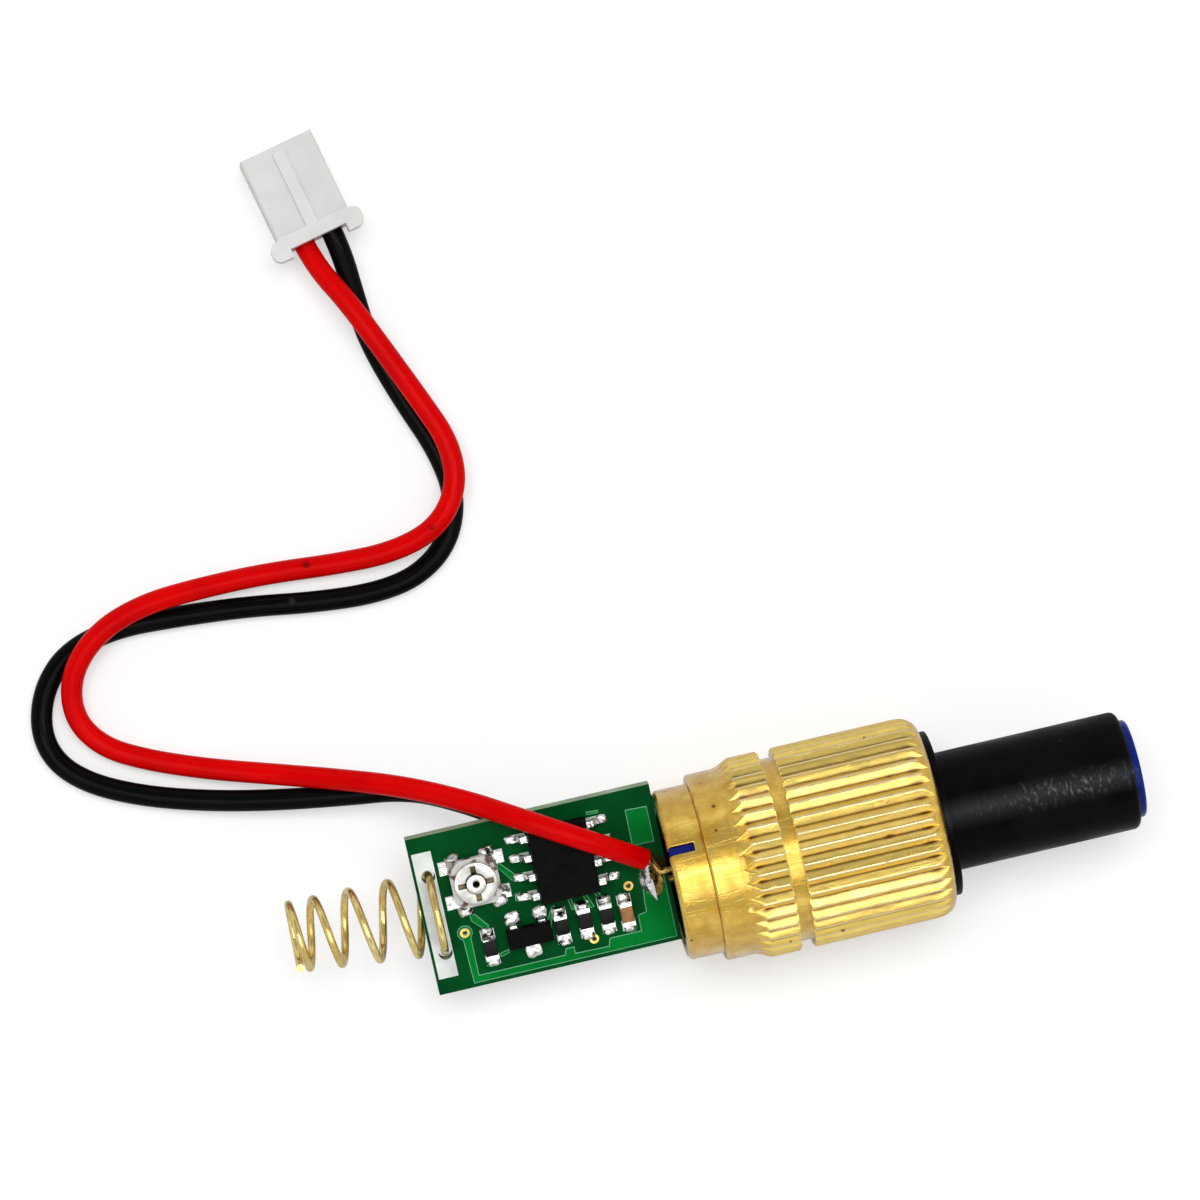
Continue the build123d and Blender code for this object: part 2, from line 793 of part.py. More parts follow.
def make_pads():
    """Tinned lands under every soldered lead and end cap."""
    pads = []
    half = trimmer_size / 2
    for side_x in (1, -1):
        for side_y in (1, -1):
            pads.append(block(
                sorted((
                    trimmer_place[0] + side_x * (half - terminal_reach - pad_margin),
                    trimmer_place[0] + side_x * (half + terminal_reach + pad_margin),
                )),
                sorted((
                    trimmer_place[1] + side_y * (half - terminal_width - pad_margin),
                    trimmer_place[1] + side_y * (half + pad_margin),
                )),
                (0, copper),
            ))
    toe = chip_width / 2 + chip_lead_reach + pad_margin
    for side in (1, -1):
        for row in range(chip_leads_per_side):
            pads.append(block(
                sorted((chip_place[0] + side * (chip_width / 2 + pad_margin), chip_place[0] + side * toe)),
                centred(chip_place[1] + chip_row_offset(row), chip_lead_width + 2 * pad_margin),
                (0, copper),
            ))
    reach = transistor_width / 2 + transistor_lead_reach + pad_margin
    for offset, side in ((-transistor_pitch / 2, 1), (transistor_pitch / 2, 1), (0, -1)):
        pads.append(block(
            centred(transistor_place[0] + offset, transistor_lead_width + 2 * pad_margin),
            sorted((
                transistor_place[1] + side * (transistor_width / 2 + pad_margin),
                transistor_place[1] + side * reach,
            )),
            (0, copper),
        ))
    for place in (*resistor_places, capacitor_place):
        for side in (1, -1):
            pads.append(block(
                centred(place[0], passive_width + 2 * pad_margin),
                sorted((
                    place[1] + side * (passive_length / 2 - passive_cap),
                    place[1] + side * (passive_length / 2 + fillet_reach + pad_margin),
                )),
                (0, copper),
            ))
    return [board_plane * pad for pad in pads]


def plug_cavity_middles():
    return (cavity_pitch / 2, -cavity_pitch / 2)


def make_plug():
    panel_top = plug_height - panel_depth
    body = block((0, plug_length), centred(0, plug_width), (0, panel_top))
    body = chamfer(body.edges().filter_by(Axis.X), plug_edge)
    body += block((0, panel_start), centred(0, plug_width), (panel_top - plug_edge, plug_height))
    body += block(
        (0, plug_length - rib_front_margin), centred(0, rib_width), (panel_top - plug_edge, plug_height),
    )
    middle = plug_height / 2
    for side in (1, -1):
        ear = block(
            (-ear_overhang, ear_start),
            sorted((side * ear_root, side * ear_span / 2)),
            (plug_height - ear_height, plug_height),
        )
        outside = ear.edges().filter_by(Axis.Z).sort_by(Axis.Y)
        body += fillet(outside[-2:] if side > 0 else outside[:2], ear_round)
    for across in plug_cavity_middles():
        body -= block(
            (0, plug_length), centred(across, cavity_width), centred(middle, cavity_height),
        )
        body -= block(
            (latch_start, latch_start + latch_length), centred(across, latch_window), (0, middle),
        )
    return plug_plane * body


def make_contacts():
    middle = plug_height / 2
    mouth = plug_length - contact_inset
    contacts = []
    for across in plug_cavity_middles():
        crimp = Pos(wire_insertion + crimp_length / 2, across, middle) * (
            Rot(0, 90, 0) * Cylinder(crimp_diameter / 2, crimp_length)
        )
        socket = block(
            (wire_insertion + crimp_length, mouth),
            centred(across, contact_width), centred(middle, contact_height),
        )
        socket -= block(
            (mouth - contact_mouth_depth, mouth),
            centred(across, contact_mouth), centred(middle, contact_mouth),
        )
        contacts.append(plug_plane * (crimp + socket))
    return contacts


def make_wire(name, points):
    radii = cord_radii(points)
    bar, length = tube(points, wire_diameter, radii)
    print(name, "radii", " ".join(f"{radius:.1f}" for radius in radii))
    expected = length * math.pi * wire_diameter ** 2 / 4
    print(name, "length", f"{length:.1f}", "volume ratio", f"{bar.volume / expected:.4f}")
    return bar


def wire_end(points, reach, tip=None):
    """Bare strands that go on from the end of a wire, and may bend down to a tip."""
    end = Vector(points[-1])
    way = (end - Vector(points[-2])).normalized()
    knee = end + way * reach
    line = [end, knee] if tip is None else [end, knee, tip]
    return tube(line, conductor_diameter, red_strand_bend)[0]


def solder_lens(length, half_width):
    """Half of a pointed blob, flat side down, long along y."""
    rise = Polyline((0, length / 2), (0, -length / 2))
    bulge = ThreePointArc((0, -length / 2), (half_width, 0), (0, length / 2))
    section = make_face(Wire([*rise.edges(), *bulge.edges()]))
    whole = revolve(section, Axis.Y, 360)
    return whole & block((-length, length), (-length, length), (0, length))


def make_wire_solder(red_wire, red_strands, black_wire, black_strands, leads):
    """Blobs that the bare strands end in, one on each face of the board."""
    blob = Rot(0, 0, red_solder_turn) * solder_lens(red_solder_length, red_solder_half_width)
    upper = board_plane * (Pos(board_length - red_solder_place[0], red_solder_place[1], 0) * blob)
    black_middle = board_plane.to_local_coords(black_strands.center())
    blob = Rot(180, 0, black_solder_turn) * solder_lens(black_solder_length, black_solder_half_width)
    lower = board_plane * (Pos(black_middle.X, black_middle.Y, -board_thickness) * blob)
    for solid in (red_strands, red_wire, *leads):
        upper -= solid
    for solid in (black_strands, black_wire):
        lower -= solid
    return upper, lower


os.makedirs("parts", exist_ok=True)

save("barrel", make_barrel())
save("diode_plug", make_diode_plug())
save("insulating_sleeve", make_sleeve())
diode_header, diode_cap, diode_window = make_diode()
save("diode_header", diode_header)
save("diode_cap", diode_cap)
save("diode_window", diode_window)
diode_leads = make_diode_leads()
save("diode_leads", *diode_leads)
crystal_holder, laser_crystal = make_crystal()
save("crystal_holder", crystal_holder)
save("laser_crystal", laser_crystal)
save("lens_tube", make_lens_tube())
save("expander_lens", make_expander())
save("collimating_lens", make_lens())
save("lens_retainer", make_retainer())

save("circuit_board", make_board())
save("contact_strip", make_strip())
save("via_rings", *make_vias())
save("solder_pads", *make_pads())
save("contact_spring", make_spring())
(trimmer_base, trimmer_rotor, trimmer_rivet), trimmer_terminals = make_trimmer()
save("trimmer_base", trimmer_base)
save("trimmer_rotor", trimmer_rotor)
save("trimmer_rivet", trimmer_rivet)
save("trimmer_terminals", *trimmer_terminals)
controller_chip, chip_leads = make_chip()
save("controller_chip", controller_chip)
save("chip_leads", *chip_leads)
transistor, transistor_leads = make_transistor()
save("transistor", transistor)
save("transistor_leads", *transistor_leads)
end_caps = []
solder_fillets = []
for number, place in enumerate(resistor_places, 1):
    body, caps, fillets = passive_part(place, resistor_height)
    save(f"resistor_{number}", body)
    end_caps += caps
    solder_fillets += fillets
body, caps, fillets = passive_part(capacitor_place, capacitor_height)
save("capacitor", body)
save("end_caps", *end_caps, *caps)
save("solder_fillets", *solder_fillets, *fillets)

red_wire = make_wire("red wire", red_points)
black_wire = make_wire("black wire", black_points)
save("red_wire", red_wire)
save("black_wire", black_wire)
red_strands = wire_end(red_points, red_strand_straight, on_board(*red_strand_tip))
black_strands = wire_end(black_points, black_conductor_length)
save("wire_strands", red_strands, black_strands)
red_solder, black_solder = make_wire_solder(red_wire, red_strands, black_wire, black_strands, diode_leads)
save("red_wire_solder", red_solder)
save("black_wire_solder", black_solder)
save("plug_housing", make_plug())
save("plug_contacts", *make_contacts())

rotor_middle = board_plane * Pos(trimmer_place[0], trimmer_place[1], 0)
print("trimmer axis at", rotor_middle.position, "along", board_plane.z_dir)
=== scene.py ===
import json
import math
import bpy
from mathutils import Matrix, Vector, noise


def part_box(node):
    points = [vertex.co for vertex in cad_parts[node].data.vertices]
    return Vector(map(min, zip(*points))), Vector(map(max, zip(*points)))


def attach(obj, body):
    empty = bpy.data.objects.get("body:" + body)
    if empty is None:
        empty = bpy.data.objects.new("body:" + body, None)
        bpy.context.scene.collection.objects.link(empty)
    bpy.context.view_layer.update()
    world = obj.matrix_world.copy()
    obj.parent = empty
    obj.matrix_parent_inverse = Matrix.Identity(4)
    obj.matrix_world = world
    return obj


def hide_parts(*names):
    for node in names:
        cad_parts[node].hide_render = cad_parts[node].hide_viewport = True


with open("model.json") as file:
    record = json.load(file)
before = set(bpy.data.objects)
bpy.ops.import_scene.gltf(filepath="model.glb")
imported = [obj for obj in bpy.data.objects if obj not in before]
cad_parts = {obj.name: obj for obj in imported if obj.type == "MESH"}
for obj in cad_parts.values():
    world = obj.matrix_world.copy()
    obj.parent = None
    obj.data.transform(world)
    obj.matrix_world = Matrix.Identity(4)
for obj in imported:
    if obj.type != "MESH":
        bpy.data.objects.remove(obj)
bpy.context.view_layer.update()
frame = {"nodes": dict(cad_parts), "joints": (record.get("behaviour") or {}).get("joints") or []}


# Diode plug. A turned brass plug pressed into the back of the barrel, with a bored and slotted neck
# behind the collar. Handling has left the neck blotchy, pitted and lightly scratched.

cad = frame["nodes"]
mm = 0.001


def screen(red, green, blue):
    """Linear colour from the 0 to 255 values that a screen shows."""
    parts = [c / 255 for c in (red, green, blue)]
    return [p / 12.92 if p < 0.04 else ((p + 0.055) / 1.055) ** 2.4 for p in parts] + [1.0]


def place(tree, kind, inputs=None, **settings):
    """Puts one shader node in a tree and sets or joins its inputs."""
    node = tree.nodes.new(kind)
    for key, value in settings.items():
        setattr(node, key, value)
    for key, value in (inputs or {}).items():
        if isinstance(value, bpy.types.NodeSocket):
            tree.links.new(value, node.inputs[key])
        else:
            node.inputs[key].default_value = value
    return node


def finish(name, colour, roughness, metallic=0.0, shine=0.5):
    """New material: itself, its node tree, its shader and the coordinates for its textures."""
    material = bpy.data.materials.new(name)
    material.use_nodes = True
    tree = material.node_tree
    shader = tree.nodes["Principled BSDF"]
    shader.inputs["Base Color"].default_value = colour
    shader.inputs["Roughness"].default_value = roughness
    shader.inputs["Metallic"].default_value = metallic
    shader.inputs["Specular IOR Level"].default_value = shine
    return material, tree, shader, place(tree, "ShaderNodeTexCoord").outputs["Object"]


def maths(tree, operation, *values):
    return place(tree, "ShaderNodeMath", dict(enumerate(values)), operation=operation).outputs["Value"]


def blend(tree, share, first, second, amount=1.0):
    """Colour that goes from the first to the second by a share, or by an amount of that share."""
    if amount != 1.0:
        share = maths(tree, "MULTIPLY", share, amount)
    mixed = place(tree, "ShaderNodeMixRGB", {"Fac": share, "Color1": first, "Color2": second})
    return mixed.outputs["Color"]


def spread(tree, value, low, high, to_low=0.0, to_high=1.0):
    """Value stretched from one range to another and held within it."""
    span = {"Value": value, "From Min": low, "From Max": high, "To Min": to_low, "To Max": to_high}
    return place(tree, "ShaderNodeMapRange", span).outputs["Result"]


def relief(tree, shader, height, depth):
    """Fine relief of a depth in millimetres."""
    bumps = place(tree, "ShaderNodeBump", {"Height": height, "Distance": depth * mm, "Strength": 1.0})
    tree.links.new(bumps.outputs["Normal"], shader.inputs["Normal"])


def new_group(name, inputs, outputs):
    """Node group with a vector and other inputs: its tree, what it is given and what it puts out."""
    tree = bpy.data.node_groups.new(name, "ShaderNodeTree")
    tree.interface.new_socket("Vector", in_out="INPUT", socket_type="NodeSocketVector")
    for label in inputs:
        tree.interface.new_socket(label, in_out="INPUT", socket_type="NodeSocketFloat")
    for label in outputs:
        tree.interface.new_socket(label, in_out="OUTPUT", socket_type="NodeSocketFloat")
    return tree, tree.nodes.new("NodeGroupInput").outputs, tree.nodes.new("NodeGroupOutput").inputs


mottle, given, result = new_group("mottle", ["Scale", "Pit scale", "Pit size"], ["Cloud", "Grain", "Pits"])
drift = {"Vector": given["Vector"], "Scale": given["Scale"], "Detail": 5.0}
cloud = place(mottle, "ShaderNodeTexNoise", drift).outputs["Fac"]
fine = maths(mottle, "MULTIPLY", given["Scale"], 11.0)
grain = place(mottle, "ShaderNodeTexNoise", {"Vector": given["Vector"], "Scale": fine, "Detail": 3.0})
cells = place(mottle, "ShaderNodeTexVoronoi", {"Vector": given["Vector"], "Scale": given["Pit scale"]})
inside = maths(mottle, "SUBTRACT", given["Pit size"], cells.outputs["Distance"])
pits = maths(mottle, "MULTIPLY", spread(mottle, inside, 0.0, 0.05), spread(mottle, cloud, 0.5, 0.56))
mottle.links.new(spread(mottle, cloud, 0.36, 0.64), result["Cloud"])
mottle.links.new(grain.outputs["Fac"], result["Grain"])
mottle.links.new(pits, result["Pits"])

scratched, given, result = new_group("scratched", ["Scale", "Width"], ["Lines"])
lines = 0.0
for turn in (0.35, 1.2, 2.3):
    lay = {"Vector": given["Vector"], "Rotation": (turn, turn * 0.4, turn * 1.7), "Scale": (0.09, 1.0, 1.0)}
    drawn = place(scratched, "ShaderNodeMapping", lay).outputs["Vector"]
    wander = place(scratched, "ShaderNodeTexNoise", {"Vector": drawn, "Scale": given["Scale"], "Detail": 1.0})
    off = maths(scratched, "ABSOLUTE", maths(scratched, "SUBTRACT", wander.outputs["Fac"], 0.5))
    line = spread(scratched, maths(scratched, "DIVIDE", off, given["Width"]), 0.0, 1.0, 1.0, 0.0)
    lines = maths(scratched, "MAXIMUM", line, lines)
scratched.links.new(lines, result["Lines"])


def aged(tree, where, cloud_scale, pit_scale=1000.0, pit_size=0.0):
    """Places the mottle group in a material: its cloud, its grain and its pits."""
    values = {"Vector": where, "Scale": cloud_scale, "Pit scale": pit_scale, "Pit size": pit_size}
    return place(tree, "ShaderNodeGroup", values, node_tree=mottle).outputs


brass_light = screen(244, 204, 90)
brass_dark = screen(220, 172, 52)
painted_flank_highlight = screen(255, 224, 116)
tarnish_and_shade = screen(100, 55, 8)
worn_crest_and_highlight = screen(255, 246, 206)
brass_pit = screen(62, 38, 14)

brass, tree, shader, where = finish("brass", brass_light, 0.3, metallic=1.0)
shader.inputs["Coat Weight"].default_value = 1.0
shader.inputs["Coat Roughness"].default_value = 0.16
age = aged(tree, where, cloud_scale=1000.0, pit_scale=800.0, pit_size=0.13)
scratches = {"Vector": where, "Scale": 900.0, "Width": 0.006}
marks = place(tree, "ShaderNodeGroup", scratches, node_tree=scratched).outputs["Lines"]
depth = place(tree, "ShaderNodeAttribute", attribute_name="valley").outputs["Fac"]
ridge = place(tree, "ShaderNodeAttribute", attribute_name="crest").outputs["Fac"]
metal = blend(tree, age["Cloud"], brass_light, brass_dark)
# Painted highlight: the flanks of the teeth are lightened toward the colour of a highlight.
metal = blend(tree, spread(tree, depth, 0.04, 0.3), metal, painted_flank_highlight, amount=0.8)
# Tarnish in the deepest part of the valleys, darkened further by painted shade.
metal = blend(tree, spread(tree, depth, 0.58, 0.86), metal, tarnish_and_shade, amount=0.94)
# Crests worn bright by handling, with a painted highlight along them.
metal = blend(tree, ridge, metal, worn_crest_and_highlight, amount=0.8)
metal = blend(tree, age["Pits"], metal, brass_pit, amount=0.85)
tree.links.new(metal, shader.inputs["Base Color"])
dull = spread(tree, age["Cloud"], 0.0, 1.0, 0.22, 0.34)
tree.links.new(maths(tree, "MULTIPLY_ADD", depth, 0.1, dull), shader.inputs["Roughness"])
height = maths(tree, "MULTIPLY_ADD", age["Cloud"], 1.4, maths(tree, "MULTIPLY", age["Grain"], 0.6))
height = maths(tree, "MULTIPLY_ADD", age["Pits"], -2.0, height)
relief(tree, shader, maths(tree, "MULTIPLY_ADD", marks, -0.5, height), 0.01)


def dress(name, material):
    """Gives a CAD node its finish."""
    cad[name].data.materials.clear()
    cad[name].data.materials.append(material)


def soften(name, width):
    """Breaks the sharp edges of a CAD node by a width, as tools and moulds leave them."""
    node = cad[name]
    weld = node.modifiers.new("weld", "WELD")
    weld.merge_threshold = 0.001 * mm
    edges = node.modifiers.new("edges", "BEVEL")
    edges.width = width * mm
    edges.segments = 2
    edges.limit_method = "ANGLE"
    edges.angle_limit = math.radians(35.0)
    edges.harden_normals = False
    flow = node.modifiers.new("flow", "WEIGHTED_NORMAL")
    flow.keep_sharp = False


dress("diode_plug", brass)
soften("diode_plug", 0.06)
dress("crystal_holder", brass)


# Barrel. One piece of brass, turned with a collar, a flare, a groove and a rounded nose, then rolled
# with forty straight teeth. The crests are bright from handling and carry a painted highlight, the
# flanks carry a painted highlight, and the valleys hold tarnish deepened by painted shade.

barrel_low, barrel_high = [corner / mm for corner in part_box("barrel")]
barrel_length = barrel_high.x - barrel_low.x
barrel_radius = barrel_high.z / 2
axis_height = barrel_radius
edge_break = 0.1
collar_radius = barrel_radius - 0.45
stake_start = 1.4
flare_start = 1.8
flare_bend = 2.2
flare_end = 2.9
flare_rise = 0.11
groove_start = 4.8
groove_end = 5.7
groove_radius = barrel_radius - 0.575
nose_length = 1.35
nose_start = barrel_length - nose_length
nose_drop = 1.0
nose_steps = 12
plug_bore = 4.6
plug_bore_depth = 4.0
light_bore = 3.6
tube_bore = 4.3
tube_bore_depth = 4.0
tube_seat = barrel_length - tube_bore_depth

# Along the barrel, radius, and the number of rows up to the next stop.
stops = [
    (0.0, plug_bore, 1),
    (0.0, collar_radius - edge_break, 1),
    (edge_break, collar_radius, 5),
    (stake_start, collar_radius, 6),
    (flare_start, collar_radius, 6),
    (flare_bend, collar_radius + flare_rise, 12),
    (flare_end, barrel_radius, 9),
    (groove_start - edge_break, barrel_radius, 2),
    (groove_start, barrel_radius - edge_break, 3),
    (groove_start, groove_radius, 4),
    (groove_end, groove_radius, 3),
    (groove_end, barrel_radius - edge_break, 2),
    (groove_end + edge_break, barrel_radius, 34),
    (nose_start, barrel_radius, 0),
]
section = []
for (x, radius, steps), (next_x, next_radius, _) in zip(stops, stops[1:]):
    for step in range(steps):
        share = step / steps
        section.append((x + (next_x - x) * share, radius + (next_radius - radius) * share))
for step in range(nose_steps + 1):
    turn = math.radians(90 * step / nose_steps)
    nose_radius = barrel_radius - nose_drop * (1 - math.cos(turn))
    section.append((nose_start + nose_length * math.sin(turn), nose_radius))
section += [(barrel_length, tube_bore), (tube_seat, tube_bore), (tube_seat, light_bore)]
section += [(plug_bore_depth, light_bore), (plug_bore_depth, plug_bore)]

teeth = 40
crest_radius = barrel_radius + 0.04
shallow_floor = barrel_radius - 0.32
deep_floor = barrel_radius - 0.4
rear_run_out = 3.4
front_run_out = 13.4
run_out_length = 0.8
crest_wear = 0.05
tool_marks = 0.014
rounding = 0.04
rounding_drop = 0.01
full_cut = 0.38
bright_share = 0.2
dented_above = 5.9

# From one crest, at 0, through the valley, at 1, to the next crest.
across_tooth = [0.0, 0.1, 0.15, 0.3, 0.55, 0.8, 0.93, 1.0, 1.07, 1.2, 1.45, 1.7, 1.85, 1.9]

# Along the barrel, degrees round it, radius and depth. The deepest is the stake mark on the collar.
dents = [
    (11.4, 93.0, 0.45, 0.1),
    (9.7, 84.0, 0.3, 0.08),
    (7.9, 100.0, 0.35, 0.1),
    (1.95, 119.0, 0.36, 0.22),
    (13.1, 118.0, 0.3, 0.08),
    (3.6, 108.0, 0.3, 0.1),
    (6.5, 62.0, 0.3, 0.08),
    (12.3, 60.0, 0.35, 0.07),
]
degree_of_arc = math.radians(barrel_radius)

points, valley_depth, ridges = [], [], []
for x, plain in section:
    run_out = min(max(rear_run_out - x, x - front_run_out, 0.0), run_out_length) / run_out_length
    tooth_floor = shallow_floor + (deep_floor - shallow_floor) * run_out
    for tooth in range(teeth):
        for share in across_tooth:
            turn = (tooth + share / 2) * 2 * math.pi / teeth
            from_crest = min(share, 2 - share)
            low = crest_radius + (tooth_floor - crest_radius) * from_crest
            worn = max(0.0, noise.noise((x * 0.5, tooth * 3.7, 0.0)) + 0.1)
            low -= crest_wear * worn * (1 - from_crest)
            low += tool_marks * noise.noise((x * 3.0, tooth * 5.1, share * 4))
            near = max(rounding - abs(plain - low), 0.0) / rounding
            radius = min(plain, low) - near * near * rounding_drop
            for dent_x, dent_turn, size, deep in dents:
                away = math.hypot(x - dent_x, (math.degrees(turn) - dent_turn) * degree_of_arc) / size
                if away < 1 and radius > dented_above:
                    radius -= deep * (1 - away) ** 1.3
            side, rise = radius * math.cos(turn), radius * math.sin(turn)
            points.append(((barrel_low.x + x) * mm, side * mm, (axis_height + rise) * mm))
            cut = min(max((plain - radius) / full_cut, 0.0), 1.0)
            valley_depth.append(cut if plain > collar_radius + 0.01 else 0.0)
            bright = max(0.0, 1 - from_crest / bright_share)
            ridges.append(bright if plain > barrel_radius - edge_break else 0.0)


def net_faces(rows, columns, first=0, round_rows=False, round_columns=True):
    """Four-sided faces between rows of points, closed round where that is asked."""
    faces = []
    for row in range(rows if round_rows else rows - 1):
        ahead = (row + 1) % rows
        for column in range(columns if round_columns else columns - 1):
            beside = (column + 1) % columns
            corners = ((row, column), (row, beside), (ahead, beside), (ahead, column))
            faces.append([first + r * columns + c for r, c in corners])
    return faces


def new_piece(name, points, faces, material, sharp=40.0):
    """Mesh piece in the model's frame that rides on the module."""
    mesh = bpy.data.meshes.new(name)
    mesh.from_pydata(points, [], faces)
    mesh.polygons.foreach_set("use_smooth", [True] * len(mesh.polygons))
    mesh.set_sharp_from_angle(angle=math.radians(sharp))
    mesh.materials.append(material)
    made = bpy.data.objects.new(name, mesh)
    bpy.context.scene.collection.objects.link(made)
    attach(made, "module")
    return made


barrel_faces = net_faces(len(section), teeth * len(across_tooth), round_rows=True)
barrel = new_piece("knurled_barrel", points, barrel_faces, brass)
barrel.data.attributes.new("valley", "FLOAT", "POINT").data.foreach_set("value", valley_depth)
barrel.data.attributes.new("crest", "FLOAT", "POINT").data.foreach_set("value", ridges)
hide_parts("barrel")


# Pump diode, its insulating sleeve and the crystal. A gold plated can sealed with a window, wrapped
# in a blue plastic lining that shows through the slot of the neck. The crystal is a clear bar.

def two_tone(name, light, dark, cloud_scale, smooth, dull, texture, metallic=0.0, shine=0.5,
             dulled_by="Grain", pit_scale=1000.0, pit_size=0.0, pit_colour=None, pit_amount=0.0):
    """Material that drifts between two tones, with an uneven shine, a fine texture and perhaps pits."""
    material, tree, shader, where = finish(name, light, dull, metallic, shine)
    age = aged(tree, where, cloud_scale, pit_scale, pit_size)
    tone = blend(tree, age["Cloud"], light, dark)
    if pit_colour:
        tone = blend(tree, age["Pits"], tone, pit_colour, pit_amount)
    tree.links.new(tone, shader.inputs["Base Color"])
    low, high = (0.0, 1.0) if dulled_by == "Cloud" else (0.3, 0.7)
    tree.links.new(spread(tree, age[dulled_by], low, high, smooth, dull), shader.inputs["Roughness"])
    relief(tree, shader, age["Grain"], texture)
    return material


gold = two_tone(
    "gold_plate", screen(230, 200, 118), screen(196, 156, 78), cloud_scale=1500.0,
    smooth=0.15, dull=0.4, texture=0.006, metallic=1.0, dulled_by="Cloud",
)
for name in ("diode_header", "diode_cap", "diode_leads", "via_rings"):
    dress(name, gold)


def vectors(tree, operation, first, second):
    """Vector maths, which gives a number for a distance or a product and a vector otherwise."""
    outputs = place(tree, "ShaderNodeVectorMath", {0: first, 1: second}, operation=operation).outputs
    return outputs["Value" if operation in ("DISTANCE", "DOT_PRODUCT") else "Vector"]


sleeve_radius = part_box("insulating_sleeve")[1].y
sleeve_light = screen(16, 32, 116)
sleeve_dark = screen(10, 22, 84)
painted_sleeve_shade = screen(9, 9, 14)

blue, tree, shader, where = finish("blue_plastic", sleeve_light, 0.3, shine=0.1)
age = aged(tree, where, cloud_scale=900.0)
lining = blend(tree, age["Cloud"], sleeve_light, sleeve_dark)
across_axis = vectors(tree, "MULTIPLY", where, (0.0, 1.0, 1.0))
from_axis = vectors(tree, "DISTANCE", across_axis, (0.0, 0.0, axis_height * mm))
# Painted shade: the lining is near black inside the neck and blue only on its outer face in the slot.
in_slot = spread(tree, from_axis, sleeve_radius, sleeve_radius + 0.08 * mm)
tree.links.new(blend(tree, in_slot, painted_sleeve_shade, lining), shader.inputs["Base Color"])
tree.links.new(spread(tree, age["Grain"], 0.3, 0.7, 0.2, 0.38), shader.inputs["Roughness"])
relief(tree, shader, age["Grain"], 0.006)
dress("insulating_sleeve", blue)

glass, tree, shader, where = finish("clear_glass", screen(246, 250, 250), 0.03)
shader.inputs["Transmission Weight"].default_value = 1.0
shader.inputs["IOR"].default_value = 1.5
age = aged(tree, where, cloud_scale=700.0)
tree.links.new(spread(tree, age["Cloud"], 0.0, 1.0, 0.01, 0.06), shader.inputs["Roughness"])
for name in ("diode_window", "expander_lens", "collimating_lens"):
    dress(name, glass)

crystal_light = screen(230, 204, 230)
crystal_dark = screen(206, 170, 210)
crystal, tree, shader, where = finish("laser_crystal", crystal_light, 0.04)
shader.inputs["Transmission Weight"].default_value = 0.9
age = aged(tree, where, cloud_scale=1200.0)
tree.links.new(blend(tree, age["Cloud"], crystal_light, crystal_dark), shader.inputs["Base Color"])
dress("laser_crystal", crystal)


# Lens tube. A black moulded tube whose flange is glued against the nose of the barrel. The skin is
# satin with a painted highlight in a band along its top, and scuffed within that band towards the front.

tube_light = screen(9, 9, 10)
tube_dark = screen(4, 4, 5)
painted_tube_highlight = screen(62, 63, 67)
tube_scuff = screen(140, 137, 130)
tube_speck = screen(110, 110, 108)
band_offset = 0.1 * mm
band_half_width = 1.2 * mm
band_from = 9.0 * mm
band_full = 10.0 * mm
scuffs_from = 16.0 * mm
scuffs_full = 22.0 * mm

black_tube, tree, shader, where = finish("black_tube", tube_light, 0.4, shine=0.045)
age = aged(tree, where, cloud_scale=420.0, pit_scale=700.0, pit_size=0.06)
sides = place(tree, "ShaderNodeSeparateXYZ", {"Vector": where}).outputs
# Band along the top of the tube: it carries a painted highlight and holds the scuffs.
from_band = maths(tree, "ABSOLUTE", maths(tree, "ADD", sides["Y"], band_offset))
highlight_and_scuff_band = maths(tree, "POWER", spread(tree, from_band, 0.0, band_half_width, 1.0, 0.0), 1.6)
highlight_and_scuff_band = maths(tree, "MULTIPLY", highlight_and_scuff_band, spread(tree, sides["Z"], band_from, band_full))
lay = {"Vector": where, "Rotation": (0.0, 0.0, 0.4), "Scale": (1.8, 0.9, 1.0)}
drawn = place(tree, "ShaderNodeMapping", lay).outputs["Vector"]
rubs = place(tree, "ShaderNodeTexNoise", {"Vector": drawn, "Scale": 2600.0, "Detail": 6.0}).outputs["Fac"]
worn = maths(tree, "MULTIPLY", highlight_and_scuff_band, spread(tree, sides["X"], scuffs_from, scuffs_full, 0.15, 1.0))
worn = maths(tree, "MULTIPLY", worn, spread(tree, age["Cloud"], 0.0, 0.7, 0.35, 1.0))
scuffs = maths(tree, "MULTIPLY", worn, spread(tree, rubs, 0.53, 0.72))
skin = blend(tree, age["Cloud"], tube_dark, tube_light)
# Painted highlight: the band is lightened along the top of the tube.
skin = blend(tree, highlight_and_scuff_band, skin, painted_tube_highlight, amount=0.5)
skin = blend(tree, scuffs, skin, tube_scuff, amount=0.7)
skin = blend(tree, age["Pits"], skin, tube_speck, amount=0.5)
tree.links.new(skin, shader.inputs["Base Color"])
tree.links.new(spread(tree, age["Cloud"], 0.0, 1.0, 0.26, 0.48), shader.inputs["Roughness"])
relief(tree, shader, maths(tree, "MULTIPLY_ADD", age["Cloud"], 2.0, age["Grain"]), 0.01)
dress("lens_tube", black_tube)
soften("lens_tube", 0.12)


# Lens retainer. A glossy ring moulded in blue plastic and pressed into the front of the tube, where it
# holds the collimating lens and stands a little out of the tube's mouth.

blue_ring = two_tone(
    "blue_ring", screen(2, 38, 136), screen(0, 26, 106), cloud_scale=800.0,
    smooth=0.1, dull=0.2, texture=0.006, shine=0.14,
)
dress("lens_retainer", blue_ring)
soften("lens_retainer", 0.05)


